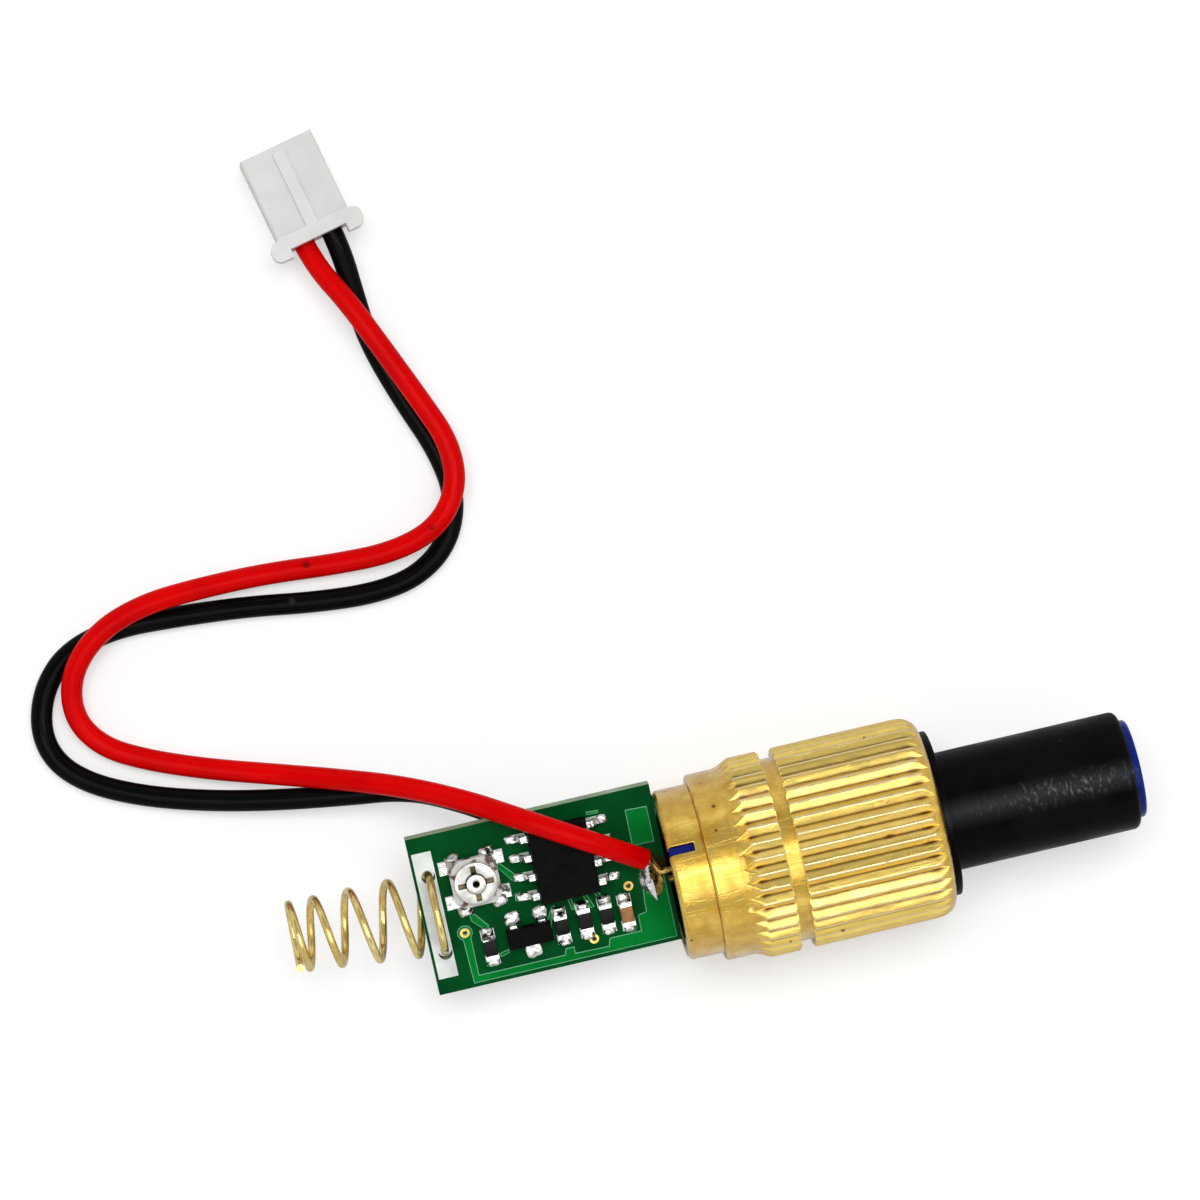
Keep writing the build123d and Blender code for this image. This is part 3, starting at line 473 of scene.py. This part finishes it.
# Circuit board. A sheet of glass fibre laminate under green solder mask, sawn from a panel so that
# the pale fibre shows at its edges. It is rolled a little about the barrel's axis.

trimmer_turn = frame["joints"][0]
board_up = Vector(trimmer_turn["axis"])
board_roll = math.atan2(-board_up.y, board_up.z)
board_thickness = 1.0 * mm
board_low, board_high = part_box("circuit_board")
board_top = (board_low + board_high) / 2 + board_up * board_thickness / 2
board_rear = Vector((board_low.x, board_top.y, board_top.z))
board_frame = Matrix.Translation(board_rear) @ Matrix.Rotation(board_roll, 4, "X")


def on_board(along, across, above):
    """Point in the model's frame from millimetres on the board's upper face."""
    return board_frame @ Vector((along * mm, across * mm, above * mm))


mask_speck = screen(90, 180, 130)
painted_edge_highlight = screen(150, 214, 180)
flux_brown = screen(46, 30, 6)
fibre_light = screen(196, 208, 184)
fibre_dark = screen(122, 150, 116)
fibre_stain = screen(70, 110, 76)
flux_place = on_board(15.3, -0.4, 0.0)
flux_core = 0.7 * mm
flux_edge = 1.5 * mm
flux_wander = 0.4 * mm


def mask_finish(name, light, dark, edge_highlight):
    """Solder mask on faces that lie flat with a painted highlight where they tilt at edges, burnt flux by the
    diode, and bare fibre on upright faces.
    """
    material, tree, shader, where = finish(name, light, 0.3, shine=0.02)
    age = aged(tree, where, cloud_scale=500.0, pit_scale=900.0, pit_size=0.06)
    mask = blend(tree, age["Cloud"], light, dark)
    mask = blend(tree, age["Pits"], mask, mask_speck, amount=0.3)
    from_flux = vectors(tree, "DISTANCE", where, flux_place)
    from_flux = maths(tree, "MULTIPLY_ADD", age["Cloud"], flux_wander, from_flux)
    mask = blend(tree, spread(tree, from_flux, flux_core, flux_edge, 0.9, 0.0), mask, flux_brown)
    facing = place(tree, "ShaderNodeNewGeometry").outputs["Normal"]
    flat = vectors(tree, "DOT_PRODUCT", facing, board_up)
    layer = {"W": vectors(tree, "DOT_PRODUCT", where, board_up), "Scale": 9000.0, "Detail": 2.0}
    layers = place(tree, "ShaderNodeTexNoise", layer, noise_dimensions="1D").outputs["Fac"]
    fibre = blend(tree, spread(tree, layers, 0.35, 0.65), fibre_light, fibre_dark)
    fibre = blend(tree, age["Cloud"], fibre, fibre_stain, amount=0.4)
    # Painted highlight: a light line where the faces tilt at the edges of the copper.
    mask = blend(tree, spread(tree, flat, 0.9, 0.985, edge_highlight, 0.0), mask, painted_edge_highlight)
    lying = spread(tree, maths(tree, "ABSOLUTE", flat), 0.45, 0.55)
    tree.links.new(blend(tree, lying, fibre, mask), shader.inputs["Base Color"])
    tree.links.new(spread(tree, lying, 0.0, 1.0, 0.7, 0.26), shader.inputs["Roughness"])
    relief(tree, shader, maths(tree, "MULTIPLY_ADD", age["Cloud"], 0.6, age["Grain"]), 0.01)
    return material


board_green = mask_finish("board_green", screen(0, 78, 32), screen(0, 66, 27), edge_highlight=0.0)
dress("circuit_board", board_green)


# Copper under the mask. Etched copper lies a hair proud of the laminate, and the mask over it shows
# a brighter green, with a light line painted along each edge as a highlight. Outlines are in millimetres on
# the board.

copper_green = mask_finish("copper_green", screen(2, 126, 48), screen(0, 110, 40), edge_highlight=0.8)
ground_pour = [
    (2.2, -1.6), (2.3, -4.95), (15.62, -4.95), (15.62, -0.3), (14.2, -0.5), (14.02, -2.2),
    (14.0, -2.9), (13.45, -3.0), (13.42, -4.05), (11.36, -4.05), (11.2, -4.56), (9.03, -4.5),
    (9.05, -4.07), (8.48, -4.06), (8.33, -4.47), (2.74, -4.47), (2.76, -1.7),
]
spare_land = [(14.03, 1.5), (15.47, 1.46), (15.47, 3.84), (14.05, 3.9)]
tracks = [
    [(5.36, 2.36), (5.56, 2.36), (6.5, 1.3), (6.5, 1.0), (6.1, 1.05), (5.36, 2.08)],
    [(2.95, -0.5), (3.3, -0.5), (4.05, -1.45), (3.75, -1.7), (3.0, -0.95)],
    [(6.02, -0.3), (6.45, -0.26), (6.45, 0.2), (6.06, 0.16)],
    [(9.25, -0.75), (9.5, -0.75), (9.62, -1.7), (9.38, -1.7)],
    [(10.2, -0.8), (10.5, -0.8), (10.86, -1.8), (10.6, -1.86)],
    [(10.95, -0.85), (11.25, -0.8), (11.5, -1.35), (11.2, -1.4)],
    [(8.15, -1.2), (8.4, -1.1), (8.0, -2.0), (7.8, -3.3), (7.6, -3.3), (7.72, -2.0)],
    [(4.3, -3.4), (4.95, -3.25), (4.95, -3.5), (4.35, -3.65)],
    [(11.6, 4.35), (12.4, 4.3), (12.35, 4.1), (11.6, 4.15)],
]
via_along, via_across = 2.43, -1.58
via_step = 0.3
via_steps = range(-5, 16)
rim_width = 0.05
rim_foot = -0.01
rim_height = 0.01
copper_height = 0.03


def via_edge(radius, steps):
    """Arc round the via at the end of the ground pour."""
    turns = [step * via_step for step in steps]
    return [(via_along + radius * math.cos(t), via_across + radius * math.sin(t)) for t in turns]


def inset(shape, width):
    """Outline moved inwards by a width."""
    corners = [Vector(corner) for corner in shape]
    area = sum(a.x * b.y - b.x * a.y for a, b in zip(corners, corners[1:] + corners[:1]))
    inwards = math.copysign(1.0, area)
    moved = []
    for before, here, after in zip(corners[-1:] + corners[:-1], corners, corners[1:] + corners[:1]):
        runs = [(here - before).normalized(), (after - here).normalized()]
        first, second = [Vector((-run.y, run.x)) * inwards for run in runs]
        moved.append(here + (first + second) * width / (1 + first.dot(second)))
    return moved


via_land = via_edge(0.5, via_steps) + via_edge(0.3, reversed(via_steps))
points, faces = [], []
for shape in [ground_pour, spare_land] + tracks + [via_land]:
    first, count = len(points), len(shape)
    for outline, above in ((shape, rim_foot), (shape, rim_height), (inset(shape, rim_width), copper_height)):
        points += [on_board(u, v, above) for u, v in outline]
    faces.append([first + 2 * count + k for k in range(count)])
    faces += net_faces(3, count, first)
new_piece("masked_copper", points, faces, copper_green, sharp=15.0)


# Contact strip and the other bare lands. Copper left free of the mask and dipped in tin, which set
# flat, pale grey and faintly uneven.

tin = two_tone(
    "tinned_copper", screen(212, 217, 213), screen(194, 199, 195), cloud_scale=700.0,
    smooth=0.3, dull=0.5, texture=0.01, metallic=0.4, shine=0.3, dulled_by="Cloud",
)
for name in ("contact_strip", "solder_pads"):
    dress(name, tin)


# Contact spring. Hard brass wire wound into an open coil that presses on the end of a battery. Its
# last half turn is threaded through two holes of the contact strip.

spring_gold = two_tone(
    "spring_gold", screen(246, 224, 152), screen(218, 190, 112), cloud_scale=900.0,
    smooth=0.12, dull=0.3, texture=0.008, metallic=1.0, dulled_by="Cloud",
    pit_scale=1500.0, pit_size=0.1, pit_colour=screen(70, 50, 22), pit_amount=0.6,
)
dress("contact_spring", spring_gold)


# Trimmer resistor. A ceramic base with four tinned feet carries a plated steel rotor with a cross
# slot, held by a hollow rivet, so that the rotor can be turned with a screwdriver.

plate_light = screen(220, 220, 214)
plate_dark = screen(184, 184, 178)
plate_pit = screen(96, 84, 60)
painted_slot_shade = screen(92, 72, 30)
painted_groove_shade = screen(30, 26, 22)
trimmer_middle = Vector(trimmer_turn["pos_m"])
slot_floor = 1.06 * mm
slot_wall = 1.12 * mm
slot_reach = 1.2 * mm
slot_end = 1.26 * mm
groove_round_rivet = 0.66 * mm
groove_black_width = 0.02 * mm
groove_half_width = 0.05 * mm

plate, tree, shader, where = finish("rotor_plate", plate_light, 0.34, metallic=0.8)
age = aged(tree, where, cloud_scale=1400.0, pit_scale=1700.0, pit_size=0.12)
metal = blend(tree, age["Cloud"], plate_light, plate_dark)
metal = blend(tree, age["Pits"], metal, plate_pit, amount=0.5)
out = vectors(tree, "SUBTRACT", where, trimmer_middle)
rise = vectors(tree, "DOT_PRODUCT", out, board_up)
reach = maths(tree, "SUBTRACT", vectors(tree, "DOT_PRODUCT", out, out), maths(tree, "MULTIPLY", rise, rise))
reach = maths(tree, "SQRT", reach)
# Painted shade: the floors of the cross slot are darkened brown.
sunk = spread(tree, rise, slot_floor, slot_wall, 1.0, 0.0)
sunk = maths(tree, "MULTIPLY", sunk, spread(tree, reach, slot_reach, slot_end, 1.0, 0.0))
# Painted shade: a dark ring round the rivet stands for the shade in a groove the mesh lacks.
groove = maths(tree, "ABSOLUTE", maths(tree, "SUBTRACT", reach, groove_round_rivet))
groove = spread(tree, groove, groove_black_width, groove_half_width, 1.0, 0.0)
metal = blend(tree, sunk, metal, painted_slot_shade, amount=0.92)
metal = blend(tree, groove, metal, painted_groove_shade, amount=0.9)
tree.links.new(metal, shader.inputs["Base Color"])
tree.links.new(spread(tree, age["Cloud"], 0.0, 1.0, 0.25, 0.42), shader.inputs["Roughness"])
relief(tree, shader, age["Grain"], 0.008)
for name in ("trimmer_rotor", "trimmer_rivet"):
    dress(name, plate)
    soften(name, 0.03)

ceramic_light = screen(206, 205, 200)
ceramic_burn = screen(84, 58, 44)
ceramic_pit = screen(40, 28, 22)

ceramic, tree, shader, where = finish("trimmer_ceramic", ceramic_light, 0.5)
age = aged(tree, where, cloud_scale=1400.0, pit_scale=1700.0, pit_size=0.1)
fired = blend(tree, spread(tree, age["Cloud"], 0.55, 0.85), ceramic_light, ceramic_burn)
fired = blend(tree, age["Pits"], fired, ceramic_pit, amount=0.8)
tree.links.new(fired, shader.inputs["Base Color"])
tree.links.new(spread(tree, age["Grain"], 0.3, 0.7, 0.4, 0.6), shader.inputs["Roughness"])
relief(tree, shader, age["Grain"], 0.01)
dress("trimmer_base", ceramic)
soften("trimmer_base", 0.03)


# Controller chip and transistor. Packages moulded in matt black plastic, with no marks. Their leads
# are bent from tinned copper, and the ends of the other parts have the same bright tin.

package = two_tone(
    "package_black", screen(7, 7, 7), screen(13, 13, 12), cloud_scale=1200.0,
    smooth=0.45, dull=0.65, texture=0.02, shine=0.04,
)
for name in ("controller_chip", "transistor"):
    dress(name, package)
    soften(name, 0.05)

silver_light = screen(230, 230, 228)
painted_dark_reflection = screen(60, 58, 56)
silver_grey = screen(130, 130, 128)
silver_pit = screen(52, 44, 36)

silver, tree, shader, where = finish("bright_tin", silver_light, 0.2, metallic=1.0)
age = aged(tree, where, cloud_scale=1300.0, pit_scale=2200.0, pit_size=0.12)
# Painted reflection: dark patches in the tin stand for the dark surroundings it mirrors.
metal = blend(tree, spread(tree, age["Cloud"], 0.0, 0.3), painted_dark_reflection, silver_light)
metal = blend(tree, spread(tree, age["Cloud"], 0.75, 1.0), metal, silver_grey, amount=0.5)
metal = blend(tree, age["Pits"], metal, silver_pit, amount=0.6)
tree.links.new(metal, shader.inputs["Base Color"])
tree.links.new(spread(tree, age["Cloud"], 0.0, 1.0, 0.12, 0.28), shader.inputs["Roughness"])
lumps = maths(tree, "MULTIPLY_ADD", age["Cloud"], 3.0, maths(tree, "MULTIPLY", age["Grain"], 0.3))
relief(tree, shader, lumps, 0.02)
for name in ("chip_leads", "transistor_leads", "end_caps", "trimmer_terminals", "wire_strands"):
    dress(name, silver)


# Chip resistors and the capacitor. Small ceramic bricks with tinned ends; the resistors are glazed
# black on top and the capacitor is a plain brown body.

glaze = two_tone(
    "resistor_black", screen(9, 9, 9), screen(20, 19, 18), cloud_scale=1500.0,
    smooth=0.18, dull=0.36, texture=0.01, shine=0.12,
)
resistors = ["resistor_1", "resistor_2", "resistor_3", "resistor_4"]
for name in resistors:
    dress(name, glaze)
    soften(name, 0.03)

brown = two_tone(
    "capacitor_brown", screen(168, 114, 56), screen(126, 82, 38), cloud_scale=1500.0,
    smooth=0.35, dull=0.55, texture=0.01,
)
dress("capacitor", brown)
soften("capacitor", 0.04)


# Solder. Tin that ran between each land and its part and set in small uneven heaps with a bright
# skin. The leaf at the red wire was drawn out to a point as the iron left it.

solder_points, solder_faces = [], []
joint_points, joint_faces = [], []
heap_rings = 7
heap_spokes = 20
heap_foot = 0.03
seed_step = 1.7


def board_place(name):
    """Middle of a CAD node in millimetres along and across the board."""
    low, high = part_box(name)
    along, across, _ = board_frame.inverted() @ ((low + high) / 2) / mm
    return along, across


def heap(points, faces, middle, size, turn, seed):
    """Adds one lumpy dome of solder on the board. Its size is half length, half width and height."""
    half_length, half_width, height = size
    first = len(points)
    for ring in range(heap_rings + 1):
        lift = math.radians(90 * ring / heap_rings)
        for spoke in range(heap_spokes):
            angle = 2 * math.pi * spoke / heap_spokes
            ragged = noise.noise((math.cos(angle) * 1.3 + seed, math.sin(angle) * 1.3, seed * 2.1))
            corner = (math.cos(angle) ** 4 + math.sin(angle) ** 4) ** -0.25
            out = math.cos(lift) ** 0.7 * (1 + 0.22 * ragged) * corner
            along = half_length * out * math.cos(angle)
            side = half_width * out * math.sin(angle)
            lump = 1 + 0.35 * noise.noise((along * 3 + seed, side * 3, 5.0 + seed))
            above = heap_foot + height * math.sin(lift) ** 1.2 * lump
            u = middle[0] + along * math.cos(turn) - side * math.sin(turn)
            v = middle[1] + along * math.sin(turn) + side * math.cos(turn)
            points.append(on_board(u, v, above))
    faces += net_faces(heap_rings + 1, heap_spokes, first)


seed = 1.0
end_reach = 0.98
end_heap = (0.36, 0.42, 0.34)
for name in resistors + ["capacitor"]:
    u, v = board_place(name)
    for side in (1, -1):
        heap(solder_points, solder_faces, (u, v + side * end_reach), end_heap, math.pi / 2, seed)
        seed += seed_step
fillets = new_piece("solder_heaps", solder_points, solder_faces, silver, sharp=60.0)
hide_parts("solder_fillets")

chip_lead_reach = 2.95
chip_pitch = 1.27
chip_rows = 4
chip_heap = (0.42, 0.3, 0.2)
u, v = board_place("controller_chip")
for row in range(chip_rows):
    for side in (1, -1):
        lead_foot = (u + side * chip_lead_reach, v + (row - (chip_rows - 1) / 2) * chip_pitch)
        heap(joint_points, joint_faces, lead_foot, chip_heap, 0.0, seed)
        seed += seed_step

transistor_feet = ((-0.88, 1.17), (0.93, 1.17), (0.02, -1.18))
transistor_heap = (0.5, 0.48, 0.14)
trimmer_corners = ((-1.18, 1.61), (1.07, 1.66), (-0.98, -1.81), (1.27, -1.67))
trimmer_heap = (0.52, 0.42, 0.42)
trimmer_along, trimmer_across, _ = board_frame.inverted() @ trimmer_middle / mm
soldered = [
    (board_place("transistor"), transistor_feet, transistor_heap, 0.1),
    ((trimmer_along, trimmer_across), trimmer_corners, trimmer_heap, 0.15),
]
for (u, v), feet, size, turn in soldered:
    for foot_along, foot_across in feet:
        heap(joint_points, joint_faces, (u + foot_along, v + foot_across), size, turn, seed)
        seed += seed_step
new_piece("solder_joints", joint_points, joint_faces, silver, sharp=60.0)

# Across the leaf: share of its half width and share of its height. Along it: place, half width, height.
leaf_ridges = [(-1.0, 0.02), (-0.5, 0.72), (0.1, 1.0), (0.45, 0.55), (1.0, 0.02)]
leaf_stations = [
    (-1.55, 0.06, 0.1), (-1.0, 0.5, 0.3), (-0.45, 0.74, 0.48),
    (0.1, 0.7, 0.6), (0.7, 0.54, 0.62), (1.3, 0.3, 0.5),
]
leaf_along, leaf_across = 14.72, -0.75
leaf_lean = 0.09
leaf_foot = 0.03
leaf_points = []
for station, half_width, height in leaf_stations:
    for side, lift in leaf_ridges:
        u = leaf_along + side * half_width - leaf_lean * station
        leaf_points.append(on_board(u, leaf_across + station, leaf_foot + height * lift))
leaf_faces = net_faces(len(leaf_stations), len(leaf_ridges), round_columns=False)
leaf = new_piece("solder_leaf", leaf_points, leaf_faces, silver, sharp=12.0)
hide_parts("red_wire_solder")
dress("black_wire_solder", silver)


# Wires. Two stranded hook-up wires in soft glossy insulation. They leave the two faces of the board,
# cross each other as they bend round on the table, and are crimped into the plug.

wire_radius = 0.7
wire_pitch = 2.0
plug_middle = Vector((-15.64, 44.83, 2.25))
plug_heading = Matrix.Rotation(math.radians(102.7), 3, "Z")
crimp_depths = (-1.3, 1.2)


def from_board(along, across, above):
    """Point of a route near the board, in millimetres in the model's frame."""
    return tuple(round(c / mm, 4) for c in on_board(along, across, above))


def into_plug(side):
    """Last points of a route, straight into one way of the plug."""
    ends = [plug_middle + plug_heading @ Vector((deep, side * wire_pitch / 2, 0.0)) for deep in crimp_depths]
    return [tuple(round(c, 4) for c in end) for end in ends]


red_route = [
    from_board(14.55, 0.75, 1.14), from_board(12.9, 1.9, 1.87), from_board(10.6, 3.5, 2.56),
    from_board(7.5, 5.23, 1.79), (-14.6, 7.6, 7.3), (-18.35, 9.4, 5.2), (-22.3, 10.75, 3.2),
    (-26.3, 12.0, 1.7), (-30.15, 13.2, 0.9), (-33.85, 14.65, 0.75), (-36.5, 16.15, 0.75),
    (-37.85, 18.4, 1.0), (-37.35, 21.15, 1.8), (-35.1, 23.35, 2.4), (-31.8, 24.45, 2.2),
    (-27.8, 24.65, 1.3), (-23.6, 24.6, 0.8), (-19.3, 24.2, 0.85), (-15.4, 24.1, 1.4),
    (-12.3, 25.0, 2.1), (-10.5, 27.3, 2.3), (-10.4, 30.2, 2.35), (-11.6, 33.2, 2.4),
    (-13.1, 36.7, 2.6), (-14.7, 40.4, 2.7),
] + into_plug(1)
black_route = [
    from_board(8.6, 3.29, -2.07), from_board(6.4, 4.78, -2.29), (-14.9, 7.6, 4.6), (-18.0, 9.1, 3.4),
    (-22.0, 9.6, 2.4), (-26.5, 10.3, 1.6), (-30.8, 11.25, 1.0), (-34.6, 12.45, 0.8),
    (-37.7, 13.95, 0.71), (-39.6, 15.8, 0.7), (-40.1, 18.1, 0.71), (-39.2, 20.7, 0.7),
    (-37.2, 22.6, 0.71), (-33.9, 23.4, 0.7), (-29.8, 23.2, 0.71), (-25.3, 22.8, 0.7),
    (-21.0, 22.1, 0.71), (-17.1, 21.8, 0.7), (-14.1, 22.3, 0.71), (-11.8, 24.0, 0.7),
    (-10.7, 26.8, 0.71), (-11.2, 30.0, 0.7), (-12.6, 33.5, 0.72), (-13.95, 37.8, 0.8),
    (-14.2, 41.0, 1.4),
] + into_plug(-1)


def insulation(name, light, dark, speck):
    """Soft glossy plastic with a few dark specks."""
    return two_tone(
        name, light, dark, cloud_scale=260.0,
        smooth=0.12, dull=0.2, texture=0.006, shine=0.045, dulled_by="Cloud",
        pit_scale=420.0, pit_size=0.13, pit_colour=speck, pit_amount=0.7,
    )


red_skin = insulation("red_insulation", screen(218, 1, 2), screen(202, 0, 1), screen(70, 8, 8))
black_skin = insulation("black_insulation", screen(5, 5, 5), screen(9, 9, 9), screen(50, 50, 50))
wires = [
    ("red_lead", "red_wire", red_route, red_skin, "red_insulation", 91.8),
    ("black_lead", "black_wire", black_route, black_skin, "black_insulation", 89.1),
]
for name, node, route, skin, slot, length in wires:
    line = bpy.data.curves.new(name, "CURVE")
    line.dimensions = "3D"
    line.bevel_depth = wire_radius * mm
    line.bevel_resolution = 6
    line.resolution_u = 10
    line.use_fill_caps = True
    spline = line.splines.new("NURBS")
    spline.points.add(len(route) - 1)
    for point, (x, y, z) in zip(spline.points, route):
        point.co = (x * mm, y * mm, z * mm, 1.0)
    spline.use_endpoint_u = True
    spline.order_u = 3
    spline.use_smooth = True
    wire = bpy.data.objects.new(name, line)
    bpy.context.scene.collection.objects.link(wire)
    line.materials.append(skin)
    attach(wire, "module")
    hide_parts(node)


# Plug. A two-way housing moulded in milky nylon, with an ear on each side of its wire end and a rib
# between its two panels. The crimped contacts are pushed in from the wire end until they latch.

nylon_light = screen(219, 219, 217)
nylon_dark = screen(210, 211, 208)

nylon, tree, shader, where = finish("white_nylon", nylon_light, 0.42, shine=0.3)
shader.inputs["Subsurface Weight"].default_value = 0.25
shader.inputs["Subsurface Radius"].default_value = (1.0, 1.0, 0.9)
shader.inputs["Subsurface Scale"].default_value = 0.8 * mm
age = aged(tree, where, cloud_scale=320.0)
tree.links.new(blend(tree, age["Cloud"], nylon_light, nylon_dark), shader.inputs["Base Color"])
tree.links.new(spread(tree, age["Grain"], 0.3, 0.7, 0.36, 0.5), shader.inputs["Roughness"])
relief(tree, shader, age["Cloud"], 0.01)
dress("plug_housing", nylon)
soften("plug_housing", 0.12)
dress("plug_contacts", tin)


# Table, light and camera. The table is white. One lamp lights the surfaces, and a broad and a narrow
# lamp are seen only as highlights along the metal. The camera looks almost straight down.

table_reach = 0.9
table_light = screen(214, 214, 214)
table_dark = screen(210, 210, 210)
table_lift = 0.41
pure_white = (1.0, 1.0, 1.0, 1.0)

table_corners = [(x * table_reach, y * table_reach, 0.0) for x, y in ((-1, -1), (1, -1), (1, 1), (-1, 1))]
table_mesh = bpy.data.meshes.new("table")
table_mesh.from_pydata(table_corners, [], [(0, 1, 2, 3)])
table = bpy.data.objects.new("table", table_mesh)
bpy.context.scene.collection.objects.link(table)
white, tree, shader, where = finish("white_table", table_light, 0.8, shine=0.0)
paper = place(tree, "ShaderNodeTexNoise", {"Vector": where, "Scale": 60.0}).outputs["Fac"]
tree.links.new(blend(tree, paper, table_light, table_dark), shader.inputs["Base Color"])
rays = place(tree, "ShaderNodeLightPath").outputs
seen = maths(tree, "MAXIMUM", rays["Is Camera Ray"], rays["Is Transmission Ray"])
glow = {"Color": pure_white, "Strength": maths(tree, "MULTIPLY", seen, table_lift)}
lift = place(tree, "ShaderNodeEmission", glow).outputs["Emission"]
both = place(tree, "ShaderNodeAddShader", {0: shader.outputs["BSDF"], 1: lift})
tree.links.new(both.outputs["Shader"], tree.nodes["Material Output"].inputs["Surface"])
table_mesh.materials.append(white)

# Height on the dome, from its rim at 0 to straight above at 1, and its brightness there.
dome_rim = 0.6
dome_top = 0.55
dome_levels = [(0.15, 0.62), (0.3, 0.98), (0.45, 0.9), (0.6, 0.5), (0.8, 0.42)]
world = bpy.data.worlds.new("studio")
bpy.context.scene.world = world
world.use_nodes = True
tree = world.node_tree
direction = place(tree, "ShaderNodeTexCoord").outputs["Generated"]
rise = place(tree, "ShaderNodeSeparateXYZ", {"Vector": direction}).outputs["Z"]
dome = place(tree, "ShaderNodeValToRGB", {"Fac": rise})
ramp = dome.color_ramp
ramp.elements[0].position = 0.0
ramp.elements[0].color = (dome_rim, dome_rim, dome_rim, 1.0)
ramp.elements[1].position = 1.0
ramp.elements[1].color = (dome_top, dome_top, dome_top, 1.0)
for position, level in dome_levels:
    stop = ramp.elements.new(position)
    stop.color = (level, level, level, 1.0)
seen = place(tree, "ShaderNodeLightPath").outputs["Is Camera Ray"]
backdrop = blend(tree, seen, dome.outputs["Color"], pure_white)
tree.links.new(backdrop, tree.nodes["Background"].inputs["Color"])

# Name, place and size in metres, power in watts, and whether it lights surfaces or shows in their shine.
lamps = [
    ("softbox", (0.0, -0.155, 0.62), (1.0, 0.46), 2.15, "shine"),
    ("tube_lamp", (0.0, -0.02, 0.66), (0.8, 0.025), 0.4, "shine"),
    ("key_lamp", (0.0, 0.14, 0.64), (0.45, 0.25), 2.2, "surfaces"),
]
for name, at, size, power, task in lamps:
    lamp = bpy.data.lights.new(name, "AREA")
    lamp.shape = "RECTANGLE"
    lamp.size, lamp.size_y = size
    lamp.energy = power
    holder = bpy.data.objects.new(name, lamp)
    holder.location = at
    holder.rotation_euler = (-Vector(at)).to_track_quat("-Z", "Y").to_euler()
    holder.visible_glossy = task == "shine"
    holder.visible_diffuse = task == "surfaces"
    bpy.context.scene.collection.objects.link(holder)

looks_at = Vector((-3.43, 18.12, axis_height)) * mm
stands_at = Vector((-26.4, 18.12, 451.5)) * mm
camera_roll = math.radians(13.0)
forward = (looks_at - stands_at).normalized()
east = Vector((1, 0, 0)) - forward * forward.x
east.normalize()
north = east.cross(forward)
right = east * math.cos(camera_roll) - north * math.sin(camera_roll)
up = east * math.sin(camera_roll) + north * math.cos(camera_roll)
camera_data = bpy.data.cameras.new("camera")
camera_data.lens = 210.0
camera_data.sensor_width = 36.0
camera_data.clip_start = 0.01
camera = bpy.data.objects.new("camera", camera_data)
bpy.context.scene.collection.objects.link(camera)
camera.matrix_world = Matrix.Translation(stands_at) @ Matrix((right, up, -forward)).transposed().to_4x4()
bpy.context.scene.camera = camera
bpy.context.scene.view_settings.view_transform = "Standard"
